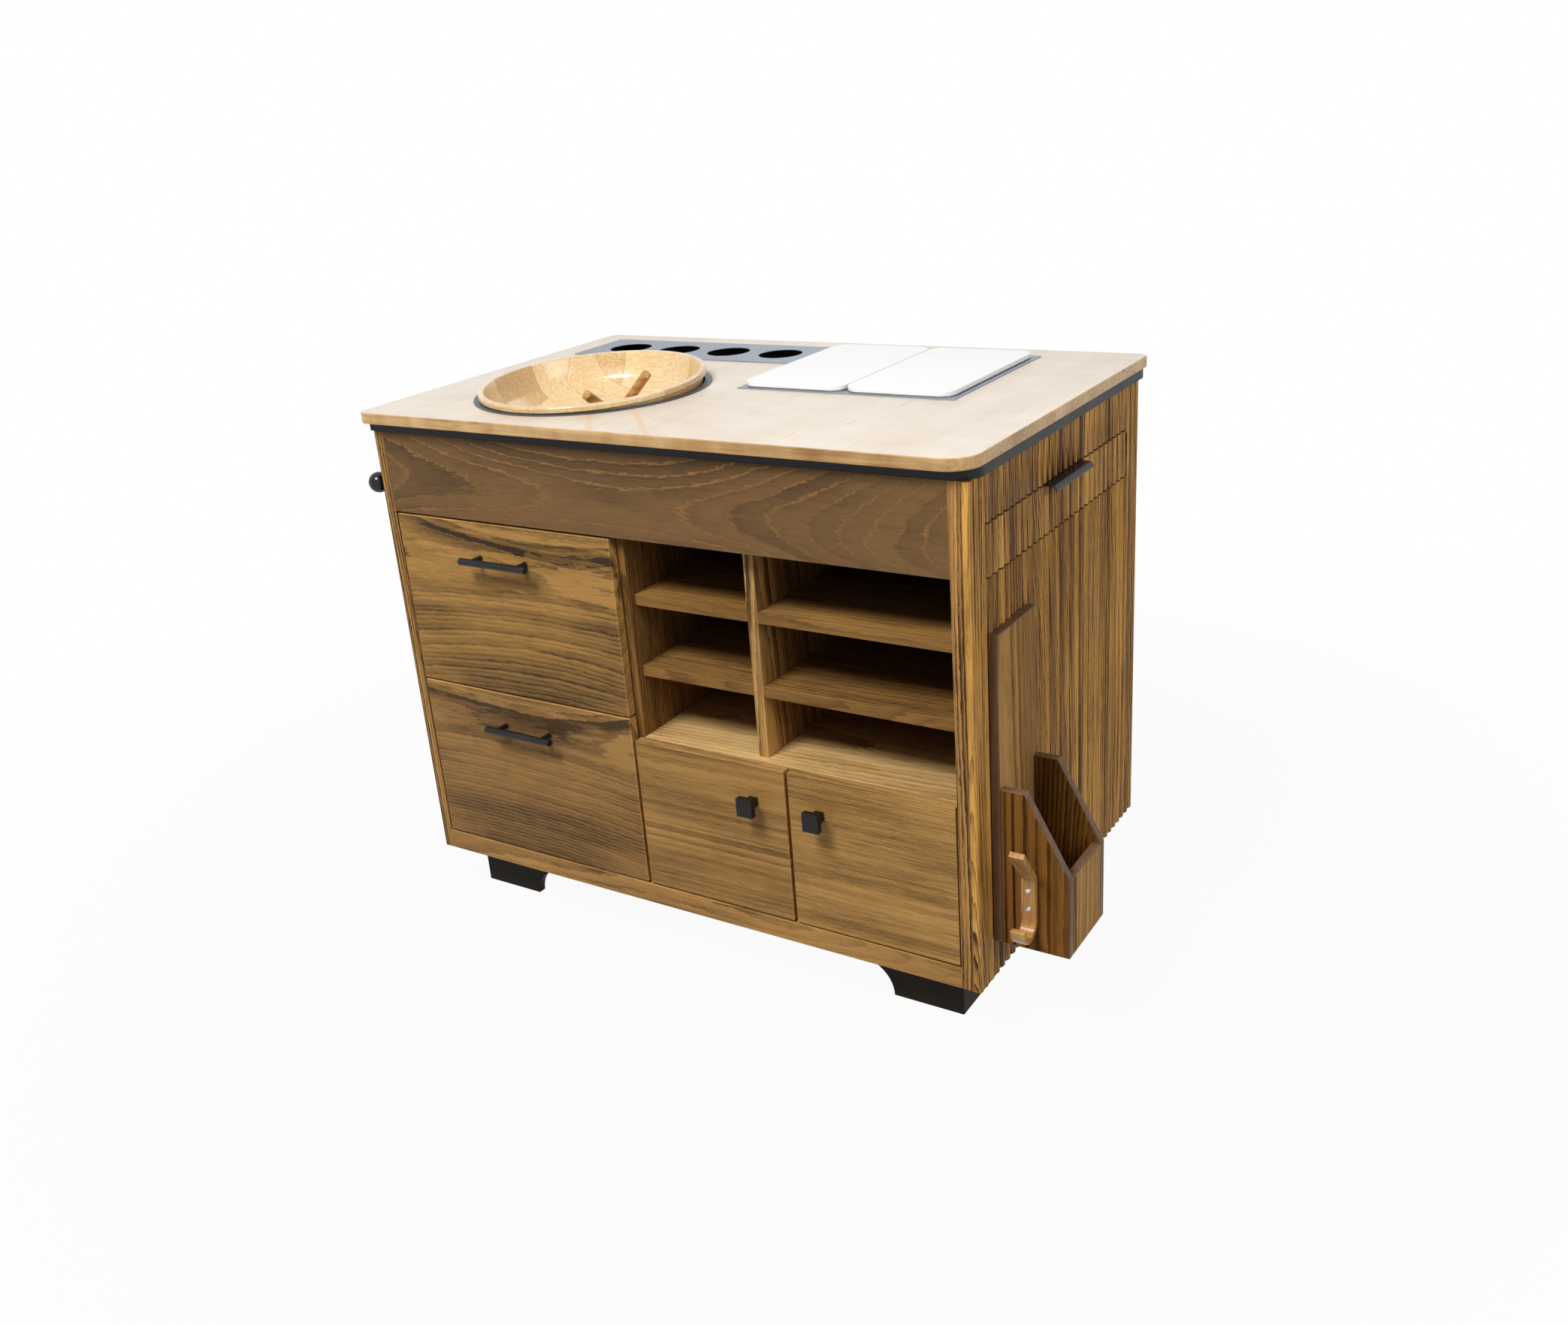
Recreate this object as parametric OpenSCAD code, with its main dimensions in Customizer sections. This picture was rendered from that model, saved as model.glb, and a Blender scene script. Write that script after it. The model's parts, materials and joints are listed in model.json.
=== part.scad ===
// Salad cart on casters: a wooden cabinet with drawers, pigeonholes and a cupboard,
// and a worktop with a bowl, four bottle holes and two covered pans.
// Millimetres. X runs along the front, Y to the back, Z up from the floor.

/* [Worktop] */
// Length of the worktop
top_w = 1100; // [1060:1:1200]
// Depth of the worktop, front to back
top_d = 695; // [640:1:760]
// Thickness of the worktop
top_t = 18; // [14:0.5:24]
// Height of the worktop's upper face above the floor
bench_h = 900; // [880:1:960]
// Radius of the worktop's front right corner
top_r = 45; // [25:1:60]
// Radius of the worktop's other corners
corner_r = 21; // [3:1:30]
// Height of the black band under the worktop
band_h = 17; // [10:0.5:25]
// Width of the band's own boards, seen from above
band_w = 30; // [20:1:34]
// Distance of the band from the worktop's left and right edge
band_in = 4; // [3:0.5:9]
// Radius of the band's front right corner
band_r = 38; // [20:1:45]
// Radius of the band's other corners
band_corner = 2; // [1:1:10]

/* [Carcass] */
// Overhang of the worktop at the front
front_over = 21.5; // [15:0.5:30]
// Overhang of the worktop at the back
back_over = 21; // [15:0.5:30]
// Overhang of the worktop at the left
left_over = 12; // [10:0.5:25]
// Overhang of the worktop past the reeds at the right
right_over = 9.5; // [9.5:0.5:20]
// Thickness of the two side boards
side_t = 20; // [16:0.5:24]
// Thickness of the inner boards
board_t = 18; // [14:0.5:22]
// Thickness of the back board
back_t = 12; // [6:0.5:16]
// Height of the carcass above the floor
clear_h = 85; // [84:1:100]
// Height of the front rail
rail_h = 136; // [126:1:150]
// Height of the bottom rail
plinth_h = 36; // [30:1:50]
// Clear width of the drawer bay
bay_w = 445; // [420:1:470]
// Clear width of the narrow pigeonholes
narrow_w = 211; // [150:1:260]
// How far the shelves stand back from the fronts' outer face
shelf_back = 33; // [22:1:60]
// Number of pigeonholes above each other
rows = 3; // [2:1:4]

/* [Reeded side] */
// Thickness of the cladding behind the reeds
clad_base = 6.5; // [4:0.5:10]
// Height of a reed above the groove
reed_h = 5; // [2:0.5:7]
// Distance from reed to reed
reed_pitch = 20; // [14:0.5:30]

/* [Fronts] */
// Thickness of drawer fronts and doors
front_t = 18; // [14:0.5:22]
// Gap between a front's back and the boards behind it
back_gap = 2; // [1:0.25:4]
// Gap above and below a front
gap_v = 3.5; // [2:0.25:6]
// Gap between two fronts side by side
gap_h = 6; // [3:0.25:8]
// Gap between a front and a side board
gap_s = 2.5; // [1.5:0.25:5]
// Height of the doors
door_h = 262; // [220:1:300]

/* [Front drawers] */
// Thickness of the drawer boxes' walls
box_t = 12; // [8:0.5:16]
// Thickness of the drawer boxes' bottoms
bottom_t = 6; // [4:0.5:10]
// Height of the drawer boxes' walls
box_h = 230; // [150:1:250]
// Length of the drawer boxes
box_len = 540; // [400:1:560]
// Height of a drawer box above the lower edge of its front
box_lift = 15; // [10:1:30]
// Room for a runner beside the box
slide_t = 13; // [10:0.5:20]
// Play between a runner and the box
slide_gap = 0.5; // [0.3:0.1:1]
// Height of a runner
slide_h = 45; // [20:1:60]
// Length of a runner
slide_len = 500; // [300:1:540]

/* [Bar handles] */
// Diameter of the bar
bar_d = 12; // [8:0.5:16]
// Length of the bar
bar_len = 140; // [120:1:200]
// Distance between the posts
post_gap = 96; // [64:1:110]
// Diameter of a post
post_d = 9; // [6:0.5:12]
// Distance of the bar's axis from the front
bar_out = 26; // [20:0.5:35]
// Distance of the bar's axis below the front's upper edge
bar_drop = 60; // [40:1:100]

/* [Door fittings] */
// Width of the knob
knob_w = 28; // [20:0.5:40]
// Height of the knob
knob_h = 31; // [20:0.5:40]
// Thickness of the knob's plate
knob_t = 11; // [5:0.5:15]
// Side of the knob's neck
neck_w = 15; // [10:0.5:18]
// Distance of the knob's outer face from the door
knob_out = 30; // [20:0.5:35]
// Distance of the left knob's axis from its door's free edge
left_knob_in = 58; // [30:1:80]
// Distance of the right knob's axis from its door's free edge
right_knob_in = 54; // [30:1:80]
// Distance of the knob's axis below the door's upper edge
knob_drop = 61; // [30:1:100]
// Diameter of a hinge cup
cup_d = 35; // [26:0.5:40]
// Depth of a hinge cup in the door
cup_h = 12; // [8:0.5:13]
// Distance of a cup's axis from the door's hinged edge
cup_in = 22; // [20:0.5:26]
// Distance of the cups from the door's upper and lower edge
cup_end = 55; // [45:1:80]
// Thickness of a cup's flange
cup_flange = 1.2; // [0.8:0.1:1.5]
// Play between a cup's knuckle and the hinge arm
arm_gap = 0.3; // [0.3:0.1:0.6]
// Play round a cup in its bore
cup_gap = 0.1; // [0.05:0.01:0.3]
// Height of a cup's flange
cup_plate = 52; // [46:1:60]
// Thickness of a hinge arm's foot on the board
arm_t = 12; // [8:0.5:13]
// Width of a hinge arm
arm_w = 16; // [12:0.5:20]
// Length of a hinge arm
arm_len = 60; // [40:1:80]

/* [Side drawer] */
// Distance of the side drawer's front from the carcass's front
sd_in = 47.5; // [40:0.5:80]
// Length of the side drawer's front
sd_len = 547.5; // [450:0.5:560]
// Height of the side drawer's front
sd_h = 74.5; // [66:0.5:80]
// Distance of the side drawer below the carcass's upper edge
sd_drop = 72.5; // [66:0.5:76]
// Gap round the side drawer's front
sd_gap = 2.5; // [2:0.25:4]
// Distance from the front's end to the side of the box
sd_margin = 22; // [18:0.5:40]
// Length of the side drawer's box
sd_depth = 470; // [300:1:480]
// Height of the side drawer's box
sd_box_h = 37; // [25:0.5:39]
// Play round the box in the side board
sd_play = 3; // [2:0.25:4]
// Height of the box above the ceiling board
sd_glide = 1; // [0.5:0.1:2]
// Width of the guide rails beside the box
guide_w = 10; // [8:0.5:16]
// Length of the edge pull
pull_len = 145; // [100:1:200]
// How far the edge pull stands out
pull_out = 19.5; // [10:0.5:25]
// Height of the edge pull's lip
pull_h = 8.5; // [8:0.5:20]
// Sheet thickness of the edge pull
pull_t = 1.6; // [1:0.1:1.8]

/* [Bowl] */
// Centre of the bowl from the worktop's left edge
bowl_x = 301; // [270:1:320]
// Distance of the steel ring from the worktop's front edge
ring_front = 51.5; // [50:0.5:65]
// Distance between the steel ring and the bottle plate
ring_gap = 52.5; // [10:0.5:80]
// Width of the steel ring outside the bowl's rim
ring_edge = 8.5; // [4:0.5:12]
// Height of the bowl
bowl_h = 125; // [100:1:130]
// Height of the rim above the ring
rim_h = 10; // [6:0.5:16]
// Thickness of the rim
rim_t = 11; // [10:0.5:16]
// Width of the step under the rim
rim_step = 5; // [4:0.5:6]
// Thickness of the bowl's bottom
bowl_floor = 16; // [12:0.5:24]
// Depth of the steep part of the inside
bowl_wall_h = 45; // [30:1:60]
// Diameter of the bowl's foot
bowl_foot = 150; // [100:1:180]
// How far the bowl has tipped forward in its ring, in degrees
bowl_tip = 2.5; // [0:0.25:3]
// Thickness of the ring's flange
ring_t = 1.5; // [1:0.1:3]
// Wall of the ring's collar
collar_t = 2; // [1:0.25:3]
// Height of the collar below the flange
collar_h = 26; // [16:1:30]
// Play between the ring and the bowl
bowl_play = 1.5; // [1:0.25:2]
// Play between the collar and the worktop
collar_play = 0.5; // [0.3:0.1:1.5]
// Play between the bowl's step and the ring
seat_gap = 0.3; // [0.2:0.05:0.5]

/* [Servers] */
// Diameter of a server's handle
serve_d = 16; // [12:0.5:20]
// Length of a server
serve_len = 140; // [120:1:170]
// Width of a server's head
head_w = 46; // [36:1:52]
// Length of a server's head
head_len = 60; // [50:1:70]
// Thickness of a server's head
head_t = 8; // [6:0.5:10]
// Depth of the spoon's hollow
scoop = 3; // [1:0.5:4]

/* [Bottle holes] */
// Left end of the bottle plate from the worktop's left edge
plate_x = 56; // [50:1:70]
// Length of the bottle plate
plate_w = 494; // [470:1:494]
// Width of the bottle plate
plate_d = 145; // [130:1:145]
// Distance of the bottle plate from the worktop's back edge
plate_back = 49; // [45:1:60]
// Thickness of the bottle plate
plate_t = 1.5; // [1:0.1:3]
// Diameter of a bottle hole
hole_d = 78.5; // [60:0.5:95]
// Distance from hole to hole
hole_pitch = 111; // [100:1:115]
// Number of bottle holes
holes = 4; // [2:1:4]
// Distance of the first hole's centre from the plate's left end
hole_in = 79; // [70:1:90]
// Border between the plate's edge and the bottle box
plate_edge = 14; // [10:1:20]
// Depth of the bottle box
well_h = 145; // [100:1:150]
// Wall of the bottle box
well_t = 1.5; // [1:0.1:3]
// Play round each insert in the worktop
insert_play = 1; // [0.5:0.25:2]

/* [Pans and lids] */
// Length of the pan frame along the front
frame_w = 384; // [376:1:400]
// Distance of the pan frame from the worktop's back edge
frame_back = 55; // [50:1:65]
// Depth of the pan frame
frame_d = 332; // [328:1:340]
// Thickness of the pan frame
frame_t = 1.5; // [1:0.1:3]
// Width of a lid
lid_w = 185; // [178:1:188]
// Length of a lid
lid_l = 322; // [310:1:326]
// Distance of the left lid from the pan frame's left end
lid_in = 4; // [2:0.5:8]
// Thickness of a lid
lid_t = 7; // [3:0.5:8]
// Radius of a lid's corners
lid_r = 25; // [14:1:35]
// Gap between the lids
lid_gap = 2; // [1:0.5:4]
// Height of the lid's inner rim
lid_plug = 1.5; // [1:0.25:1.75]
// Width by which the lid reaches past the pan's flange
lid_over = 2; // [1:0.5:4]
// Width of a pan's flange
flange_w = 8; // [6:0.5:12]
// Depth of a pan
pan_h = 65; // [40:1:65]
// Wall of a pan
pan_t = 1.2; // [0.8:0.1:2]
// Radius of a pan's corners
pan_r = 14; // [8:1:20]
// Play between stacked sheets
rest_gap = 0.3; // [0.2:0.05:0.5]

/* [Rack] */
// Distance of the rack from the carcass's front
rack_in = 46; // [30:1:80]
// Width of the rack
rack_w = 136; // [100:1:180]
// Thickness of the rack's boards
rack_t = 14; // [10:0.5:18]
// Height of the rack above the floor
rack_z = 151; // [120:1:180]
// Height of the rack's back board
rack_h = 487; // [400:1:520]
// Depth of the pocket at the bottom, outside
rack_d = 105; // [80:1:130]
// Depth of the cheeks at their upper end
cheek_top = 38; // [20:1:60]
// Height of the cheeks
cheek_h = 254; // [200:1:300]
// Height of the low front
pocket_h = 129; // [80:1:160]
// Play between the rack and the reeds
rack_gap = 0.2; // [0.1:0.05:0.5]

/* [Hook] */
// Width of the bent hook
hook_w = 22.5; // [20:0.5:32]
// Thickness of the hook
hook_t = 9; // [4:0.5:10]
// Distance of the hook's middle from the rack's back
hook_x = 45; // [30:0.5:55]
// Height of the hook's plate above the rack's lower edge
hook_z = 55; // [40:1:70]
// Length of the hook's straight plate
hook_plate = 68; // [50:1:90]
// Reach of the upper arm
arm_out = 48; // [20:1:56]
// Rise of the upper arm
arm_up = 60; // [30:1:70]
// Radius of the lower bend, at the middle of the wood
hook_r = 20.5; // [12:0.5:24]
// Height of the lower lip
hook_lip = 3.5; // [1:0.5:20]

/* [Push bar] */
// Diameter of the push bar
push_d = 22; // [16:0.5:28]
// Diameter of the balls
ball_d = 36; // [30:1:50]
// Distance of the bar's axis from the left board
push_out = 48; // [35:1:70]
// Distance of the balls' centres from the worktop's ends
push_in = 57; // [40:1:100]
// Height of the bar's axis below the worktop's upper face
push_drop = 136; // [100:1:200]
// Distance from a ball's centre to its post
push_post = 95; // [60:1:150]
// Diameter of a post
push_post_d = 14; // [10:0.5:20]
// Diameter of a post's rosette
rosette_d = 40; // [30:1:50]
// Thickness of a rosette
rosette_t = 5; // [3:0.5:8]

/* [Feet and casters] */
// Distance of the feet from the carcass's sides
foot_side = 52; // [40:1:70]
// Distance of the feet from the carcass's front and back
foot_front = 46; // [35:1:70]
// Width of a foot at the floor
foot_w = 121; // [115:1:140]
// Width of a foot at its top
foot_top = 165; // [150:1:170]
// Radius of the foot's hollow curve
foot_r = 55; // [46:1:60]
// Thickness of a foot's boards
foot_t = 15; // [10:0.5:18]
// Height of the feet above the floor
foot_lift = 1.5; // [1:0.5:8]
// Distance of a caster's swivel axis from the foot's outer faces
caster_in = 85; // [76:1:95]
// Diameter of a caster wheel
wheel_d = 60; // [50:1:62]
// Width of a wheel's hub
hub_w = 24; // [18:0.5:28]
// Width of a wheel's tyre
tyre_w = 20; // [14:0.5:24]
// Distance from the swivel axis to the axle
trail = 22; // [16:0.5:26]
// Diameter of the axle
axle_d = 8; // [6:0.5:10]
// Radial play between the wheel and the axle
axle_gap = 0.08; // [0.03:0.01:0.1]
// Thickness of a fork leg
leg_t = 3; // [2:0.25:4]
// Play between the hub and a fork leg
hub_gap = 0.5; // [0.3:0.1:1]
// Side of a caster's top plate
top_plate = 64; // [56:1:70]
// Thickness of a caster's top plate
top_plate_t = 3; // [2:0.25:4]
// Diameter of the swivel race
race_d = 46; // [40:1:54]
// Thickness of the swivel race
race_t = 8; // [4:0.5:9]
// Thickness of the fork's crown
crown_t = 5; // [4:0.5:6]
// Diameter of the kingpin
pin_d = 10; // [8:0.5:14]
// Play in the swivel
swivel_gap = 0.4; // [0.3:0.05:0.6]
// Radial play round the kingpin
pin_gap = 0.08; // [0.03:0.01:0.1]

/* [Hidden] */

// heights
body_z0 = clear_h;
body_z1 = bench_h - top_t - band_h;
rail_z0 = body_z1 - rail_h;
plinth_z1 = body_z0 + plinth_h;
base_z1 = body_z0 + board_t;
ceil_z1 = rail_z0 + board_t;
front_h = (rail_z0 - plinth_z1 - 3 * gap_v) / 2;
lower_z0 = plinth_z1 + gap_v;
upper_z0 = lower_z0 + front_h + gap_v;
door_z0 = plinth_z1 + gap_v;
door_z1 = door_z0 + door_h;
row_h = (rail_z0 - door_z1 - (rows - 1) * board_t) / rows;

// depths
body_y0 = front_over;
body_y1 = top_d - back_over;
front_y1 = body_y0 + front_t;
inner_y0 = front_y1 + back_gap;
back_in = body_y1 - back_t;
shelf_y0 = body_y0 + shelf_back;

// widths
left_x0 = left_over;
left_in = left_x0 + side_t;
clad_x1 = top_w - right_over;
valley_x = clad_x1 - reed_h;
clad_x0 = valley_x - clad_base;
right_in = clad_x0 - side_t;
div_x0 = left_in + bay_w;
div_x1 = div_x0 + board_t;
mid_x0 = div_x1 + narrow_w;
mid_x1 = mid_x0 + board_t;
split_x = (div_x0 + div_x1) / 2;
drawer_x0 = left_in + gap_s;
drawer_w = split_x - gap_h / 2 - drawer_x0;
doors_x0 = split_x + gap_h / 2;
doors_x1 = right_in - gap_s;
door_w = (doors_x1 - doors_x0 - gap_h) / 2;
door2_x0 = doors_x1 - door_w;
body_x1 = clad_x1;

// front drawer boxes
box_x0 = left_in + slide_t;
box_w = bay_w - 2 * slide_t;

// side drawer
sd_y0 = body_y0 + sd_in;
sd_y1 = sd_y0 + sd_len;
sd_z1 = body_z1 - sd_drop;
sd_z0 = sd_z1 - sd_h;
sdb_y0 = sd_y0 + sd_margin;
sdb_y1 = sd_y1 - sd_margin;
sdb_z0 = ceil_z1 + sd_glide;
sdb_x0 = clad_x0 - sd_depth;

// bottle plate and pan frame, from the back; the ring fills what is left in front of the plate
plate_y = top_d - plate_back - plate_d;
frame_y = top_d - frame_back - frame_d;
frame_x = plate_x + plate_w;
frame_cx = frame_x + lid_in + lid_w + lid_gap / 2;
frame_cy = frame_y + frame_d / 2;

// bowl
ring_d = plate_y - ring_gap - ring_front;
bowl_y = ring_front + ring_d / 2;
rim_r = ring_d / 2 - ring_edge;
body_r = rim_r - rim_step;
ring_in = body_r + bowl_play;
collar_r = ring_in + collar_t;
step_z = bowl_h - rim_h;

// pans
pan_w = lid_w - 2 * lid_over;
pan_l = lid_l - 2 * lid_over;
pan_body_w = pan_w - 2 * flange_w;
pan_body_l = pan_l - 2 * flange_w;
pan_dx = (lid_w + lid_gap) / 2;
pan_z = bench_h + frame_t + rest_gap;
lid_z = pan_z + pan_t + rest_gap;

// rack
rack_x = clad_x1 + rack_gap;
rack_y = body_y0 + rack_in;
pocket_x = rack_x + rack_t;

// push bar
push_x = left_x0 - push_out;
push_z = bench_h - push_drop;

// feet and casters
feet_x0 = left_x0 + foot_side;
feet_x1 = body_x1 - foot_side;
feet_y0 = body_y0 + foot_front;
feet_y1 = body_y1 - foot_front;
cast_x0 = feet_x0 + caster_in;
cast_x1 = feet_x1 - caster_in;
cast_y0 = feet_y0 + caster_in;
cast_y1 = feet_y1 - caster_in;
race_z0 = body_z0 - top_plate_t - race_t;
crown_z1 = race_z0 - swivel_gap;
crown_z0 = crown_z1 - crown_t;
leg_y = hub_w / 2 + hub_gap;

// the middle of the cart's outline is the origin
min_x = push_x - ball_d / 2;
max_x = pocket_x + rack_d;
min_y = body_y0 - max(bar_out + bar_d / 2, knob_out);
max_y = top_d;
origin = [-(min_x + max_x) / 2, -(min_y + max_y) / 2, 0];

wood = "#7a5228";
dark_wood = "#5c3f22";
pale_wood = "#e3c493";
black = "#1b1b1c";
steel = "#8d9196";

// a box from its low corner to its high corner
module span(lo, hi) {
    translate(lo)
        cube(hi - lo);
}

// a flat shape of the given size with round corners
module round_rect(size, r) {
    translate([r, 0])
        square([size[0] - 2 * r, size[1]]);
    translate([0, r])
        square([size[0], size[1] - 2 * r]);
    for (x = [r, size[0] - r])
        for (y = [r, size[1] - r])
            translate([x, y])
                circle(r = r, $fn = 48);
}

// a flat shape whose front right corner has a wide radius and whose others have a small one
module bench_outline(size, r, small) {
    difference() {
        round_rect(size, small);
        translate([size[0] - r, -1])
            square([r + 1, r + 1]);
    }
    translate([size[0] - r, r])
        circle(r = r, $fn = 96);
}

module worktop() {
    color(pale_wood)
        translate(origin)
        difference() {
            translate([0, 0, bench_h - top_t])
                linear_extrude(top_t)
                bench_outline([top_w, top_d], top_r, corner_r);
            translate([bowl_x, bowl_y, bench_h - top_t - 1])
                cylinder(r = collar_r + collar_play, h = top_t + 2, $fn = 96);
            span([plate_x + plate_edge - insert_play, plate_y + plate_edge - insert_play, 0],
                [plate_x + plate_w - plate_edge + insert_play,
                plate_y + plate_d - plate_edge + insert_play, bench_h + 1]);
            span([frame_cx - pan_dx - pan_body_w / 2 - 3 * insert_play,
                frame_cy - pan_body_l / 2 - 3 * insert_play, 0],
                [frame_cx + pan_dx + pan_body_w / 2 + 3 * insert_play,
                frame_cy + pan_body_l / 2 + 3 * insert_play, bench_h + 1]);
        }
}

module trim_band() {
    size = [top_w - 2 * band_in, body_y1 - body_y0];
    color(black)
        translate(origin + [band_in, body_y0, body_z1])
        linear_extrude(band_h)
        difference() {
            bench_outline(size, band_r, band_corner);
            translate([band_w, band_w])
                square([size[0] - 2 * band_w, size[1] - 2 * band_w]);
        }
}

module left_side_board() {
    color(wood)
        translate(origin)
        span([left_x0, body_y0, body_z0], [left_in, body_y1, body_z1]);
}

module right_side_board() {
    color(wood)
        translate(origin)
        difference() {
            span([right_in, body_y0, body_z0], [clad_x0, body_y1, body_z1]);
            span([right_in - 1, sdb_y0 - sd_play, ceil_z1],
                [clad_x0 + 1, sdb_y1 + sd_play, sdb_z0 + sd_box_h + sd_play]);
        }
}

// outline of one reed that starts at y and is w wide, without its first point
function reed(y, w, n = 8) =
    let (r = (w * w / 4 + reed_h * reed_h) / (2 * reed_h))
    [for (i = [1:n])
        let (t = w * (i / n - 0.5))
        [clad_x1 - r + sqrt(r * r - t * t), y + w * i / n]];

// the whole reeded sheet: full reeds from the back, and a narrower one at the front corner
function reeded_outline() =
    let (full = floor((body_y1 - body_y0) / reed_pitch))
    let (rest = body_y1 - body_y0 - full * reed_pitch)
    concat([[clad_x0, body_y0], [valley_x, body_y0]],
        rest > 1 ? reed(body_y0, rest) : [],
        [for (k = [0:full - 1])
            for (p = reed(body_y0 + rest + k * reed_pitch, reed_pitch))
                p],
        [[clad_x0, body_y1]]);

module reeded_sheet() {
    translate([0, 0, body_z0])
        linear_extrude(body_z1 - body_z0)
        polygon(reeded_outline());
}

module reeded_cladding() {
    color(wood)
        translate(origin)
        difference() {
            reeded_sheet();
            span([clad_x0 - 1, sd_y0 - sd_gap, sd_z0 - sd_gap],
                [clad_x1 + 1, sd_y1 + sd_gap, sd_z1 + sd_gap]);
        }
}

module back_board() {
    color(wood)
        translate(origin)
        span([left_in, back_in, body_z0], [right_in, body_y1, body_z1]);
}

module front_rail() {
    color(dark_wood)
        translate(origin)
        span([left_in, body_y0, rail_z0], [right_in, inner_y0, body_z1]);
}

module bottom_rail() {
    color(wood)
        translate(origin)
        span([left_in, body_y0, body_z0], [right_in, inner_y0, plinth_z1]);
}

module base_board() {
    color(wood)
        translate(origin)
        span([left_in, inner_y0, body_z0], [right_in, back_in, base_z1]);
}

module inner_ceiling() {
    color(wood)
        translate(origin)
        span([left_in, inner_y0, rail_z0], [right_in, back_in, ceil_z1]);
}

module main_divider() {
    color(wood)
        translate(origin)
        span([div_x0, inner_y0, base_z1], [div_x1, back_in, rail_z0]);
}

module middle_divider() {
    color(wood)
        translate(origin)
        span([mid_x0, shelf_y0, door_z1], [mid_x1, back_in, rail_z0]);
}

module shelves() {
    color(wood)
        translate(origin)
        for (k = [1:rows - 1]) {
            z = door_z1 + k * row_h + (k - 1) * board_t;
            span([div_x1, shelf_y0, z], [mid_x0, back_in, z + board_t]);
            span([mid_x1, shelf_y0, z], [right_in, back_in, z + board_t]);
        }
}

module pigeonhole_deck() {
    color(wood)
        translate(origin)
        span([div_x1, inner_y0, door_z1 - board_t], [right_in, back_in, door_z1]);
}

module drawer_runners() {
    w = slide_t - slide_gap;
    color(steel)
        translate(origin)
        for (z0 = [lower_z0, upper_z0])
            for (x = [left_in, div_x0 - w])
                translate([x, inner_y0 + 4, z0 + box_lift + box_h / 3])
                    cube([w, slide_len, slide_h]);
}

module side_drawer_guides() {
    color(steel)
        translate(origin)
        for (y = [sdb_y0 - slide_gap - guide_w, sdb_y1 + slide_gap])
            translate([sdb_x0, y, ceil_z1])
                cube([right_in - sdb_x0, guide_w, sd_box_h - 4]);
}

// a hinge arm on a board's face: u runs from the face, c is the cup's distance from it
module hinge_arm(c) {
    y0 = front_y1 + cup_flange + arm_gap;
    w = arm_w / 2;
    translate([0, 0, -w])
        linear_extrude(arm_w)
        polygon([[0, y0 + 1.2 * arm_t], [c - w, y0 + arm_t / 3], [c - w, y0], [c + w, y0],
            [c + w, y0 + 0.75 * arm_t], [arm_t, y0 + 1.5 * arm_t], [arm_t, y0 + arm_len],
            [0, y0 + arm_len]]);
}

module hinge_arms() {
    color(steel)
        translate(origin)
        for (z = [door_z0 + cup_end, door_z1 - cup_end]) {
            translate([div_x1, 0, z])
                hinge_arm(doors_x0 + cup_in - div_x1);
            translate([right_in, 0, z])
                mirror([1, 0, 0])
                hinge_arm(right_in - doors_x1 + cup_in);
        }
}

// one board of a bracket foot, seen from outside, with its outer corner at zero
module foot_board() {
    h = body_z0 - foot_lift;
    translate([0, foot_t, foot_lift])
        rotate([90, 0, 0])
        linear_extrude(foot_t)
        difference() {
            square([foot_top, h]);
            translate([foot_w + foot_r, 0])
                circle(r = foot_r, $fn = 96);
        }
}

module bracket_foot() {
    foot_board();
    rotate([0, 0, 90])
        mirror([0, 1, 0])
        foot_board();
}

module bracket_feet() {
    color(black)
        translate(origin) {
            translate([feet_x0, feet_y0, 0])
                bracket_foot();
            translate([feet_x1, feet_y0, 0])
                mirror([1, 0, 0])
                bracket_foot();
            translate([feet_x0, feet_y1, 0])
                mirror([0, 1, 0])
                bracket_foot();
            translate([feet_x1, feet_y1, 0])
                mirror([1, 0, 0])
                mirror([0, 1, 0])
                bracket_foot();
        }
}

module caster_plate() {
    translate([-top_plate / 2, -top_plate / 2, body_z0 - top_plate_t])
        cube([top_plate, top_plate, top_plate_t]);
    translate([0, 0, race_z0])
        cylinder(d = race_d, h = race_t, $fn = 64);
    translate([0, 0, crown_z0 - swivel_gap - 2])
        cylinder(d = pin_d, h = crown_t + 2 * swivel_gap + 3, $fn = 48);
    translate([0, 0, crown_z0 - swivel_gap - 2])
        cylinder(d = pin_d + 6, h = 2, $fn = 48);
}

module caster_plates() {
    color(steel)
        translate(origin)
        for (x = [cast_x0, cast_x1])
            for (y = [cast_y0, cast_y1])
                translate([x, y, 0])
                    caster_plate();
}

// a fork turned so that its wheel trails along X
module fork() {
    difference() {
        translate([0, 0, crown_z0])
            cylinder(d = race_d, h = crown_t, $fn = 64);
        translate([0, 0, crown_z0 - 1])
            cylinder(r = pin_d / 2 + pin_gap, h = crown_t + 2, $fn = 48);
    }
    for (y = [-leg_y - leg_t, leg_y])
        translate([0, y + leg_t, 0])
            rotate([90, 0, 0])
            linear_extrude(leg_t) {
                polygon([[-13, crown_z1], [-13, crown_z0 - 4], [trail - axle_d, wheel_d / 2],
                    [trail + axle_d, wheel_d / 2], [14, crown_z1]]);
                translate([trail, wheel_d / 2])
                    circle(r = axle_d, $fn = 48);
            }
    translate([trail, leg_y + leg_t + 1.5, wheel_d / 2])
        rotate([90, 0, 0])
        cylinder(d = axle_d, h = 2 * (leg_y + leg_t + 1.5), $fn = 48);
}

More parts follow.
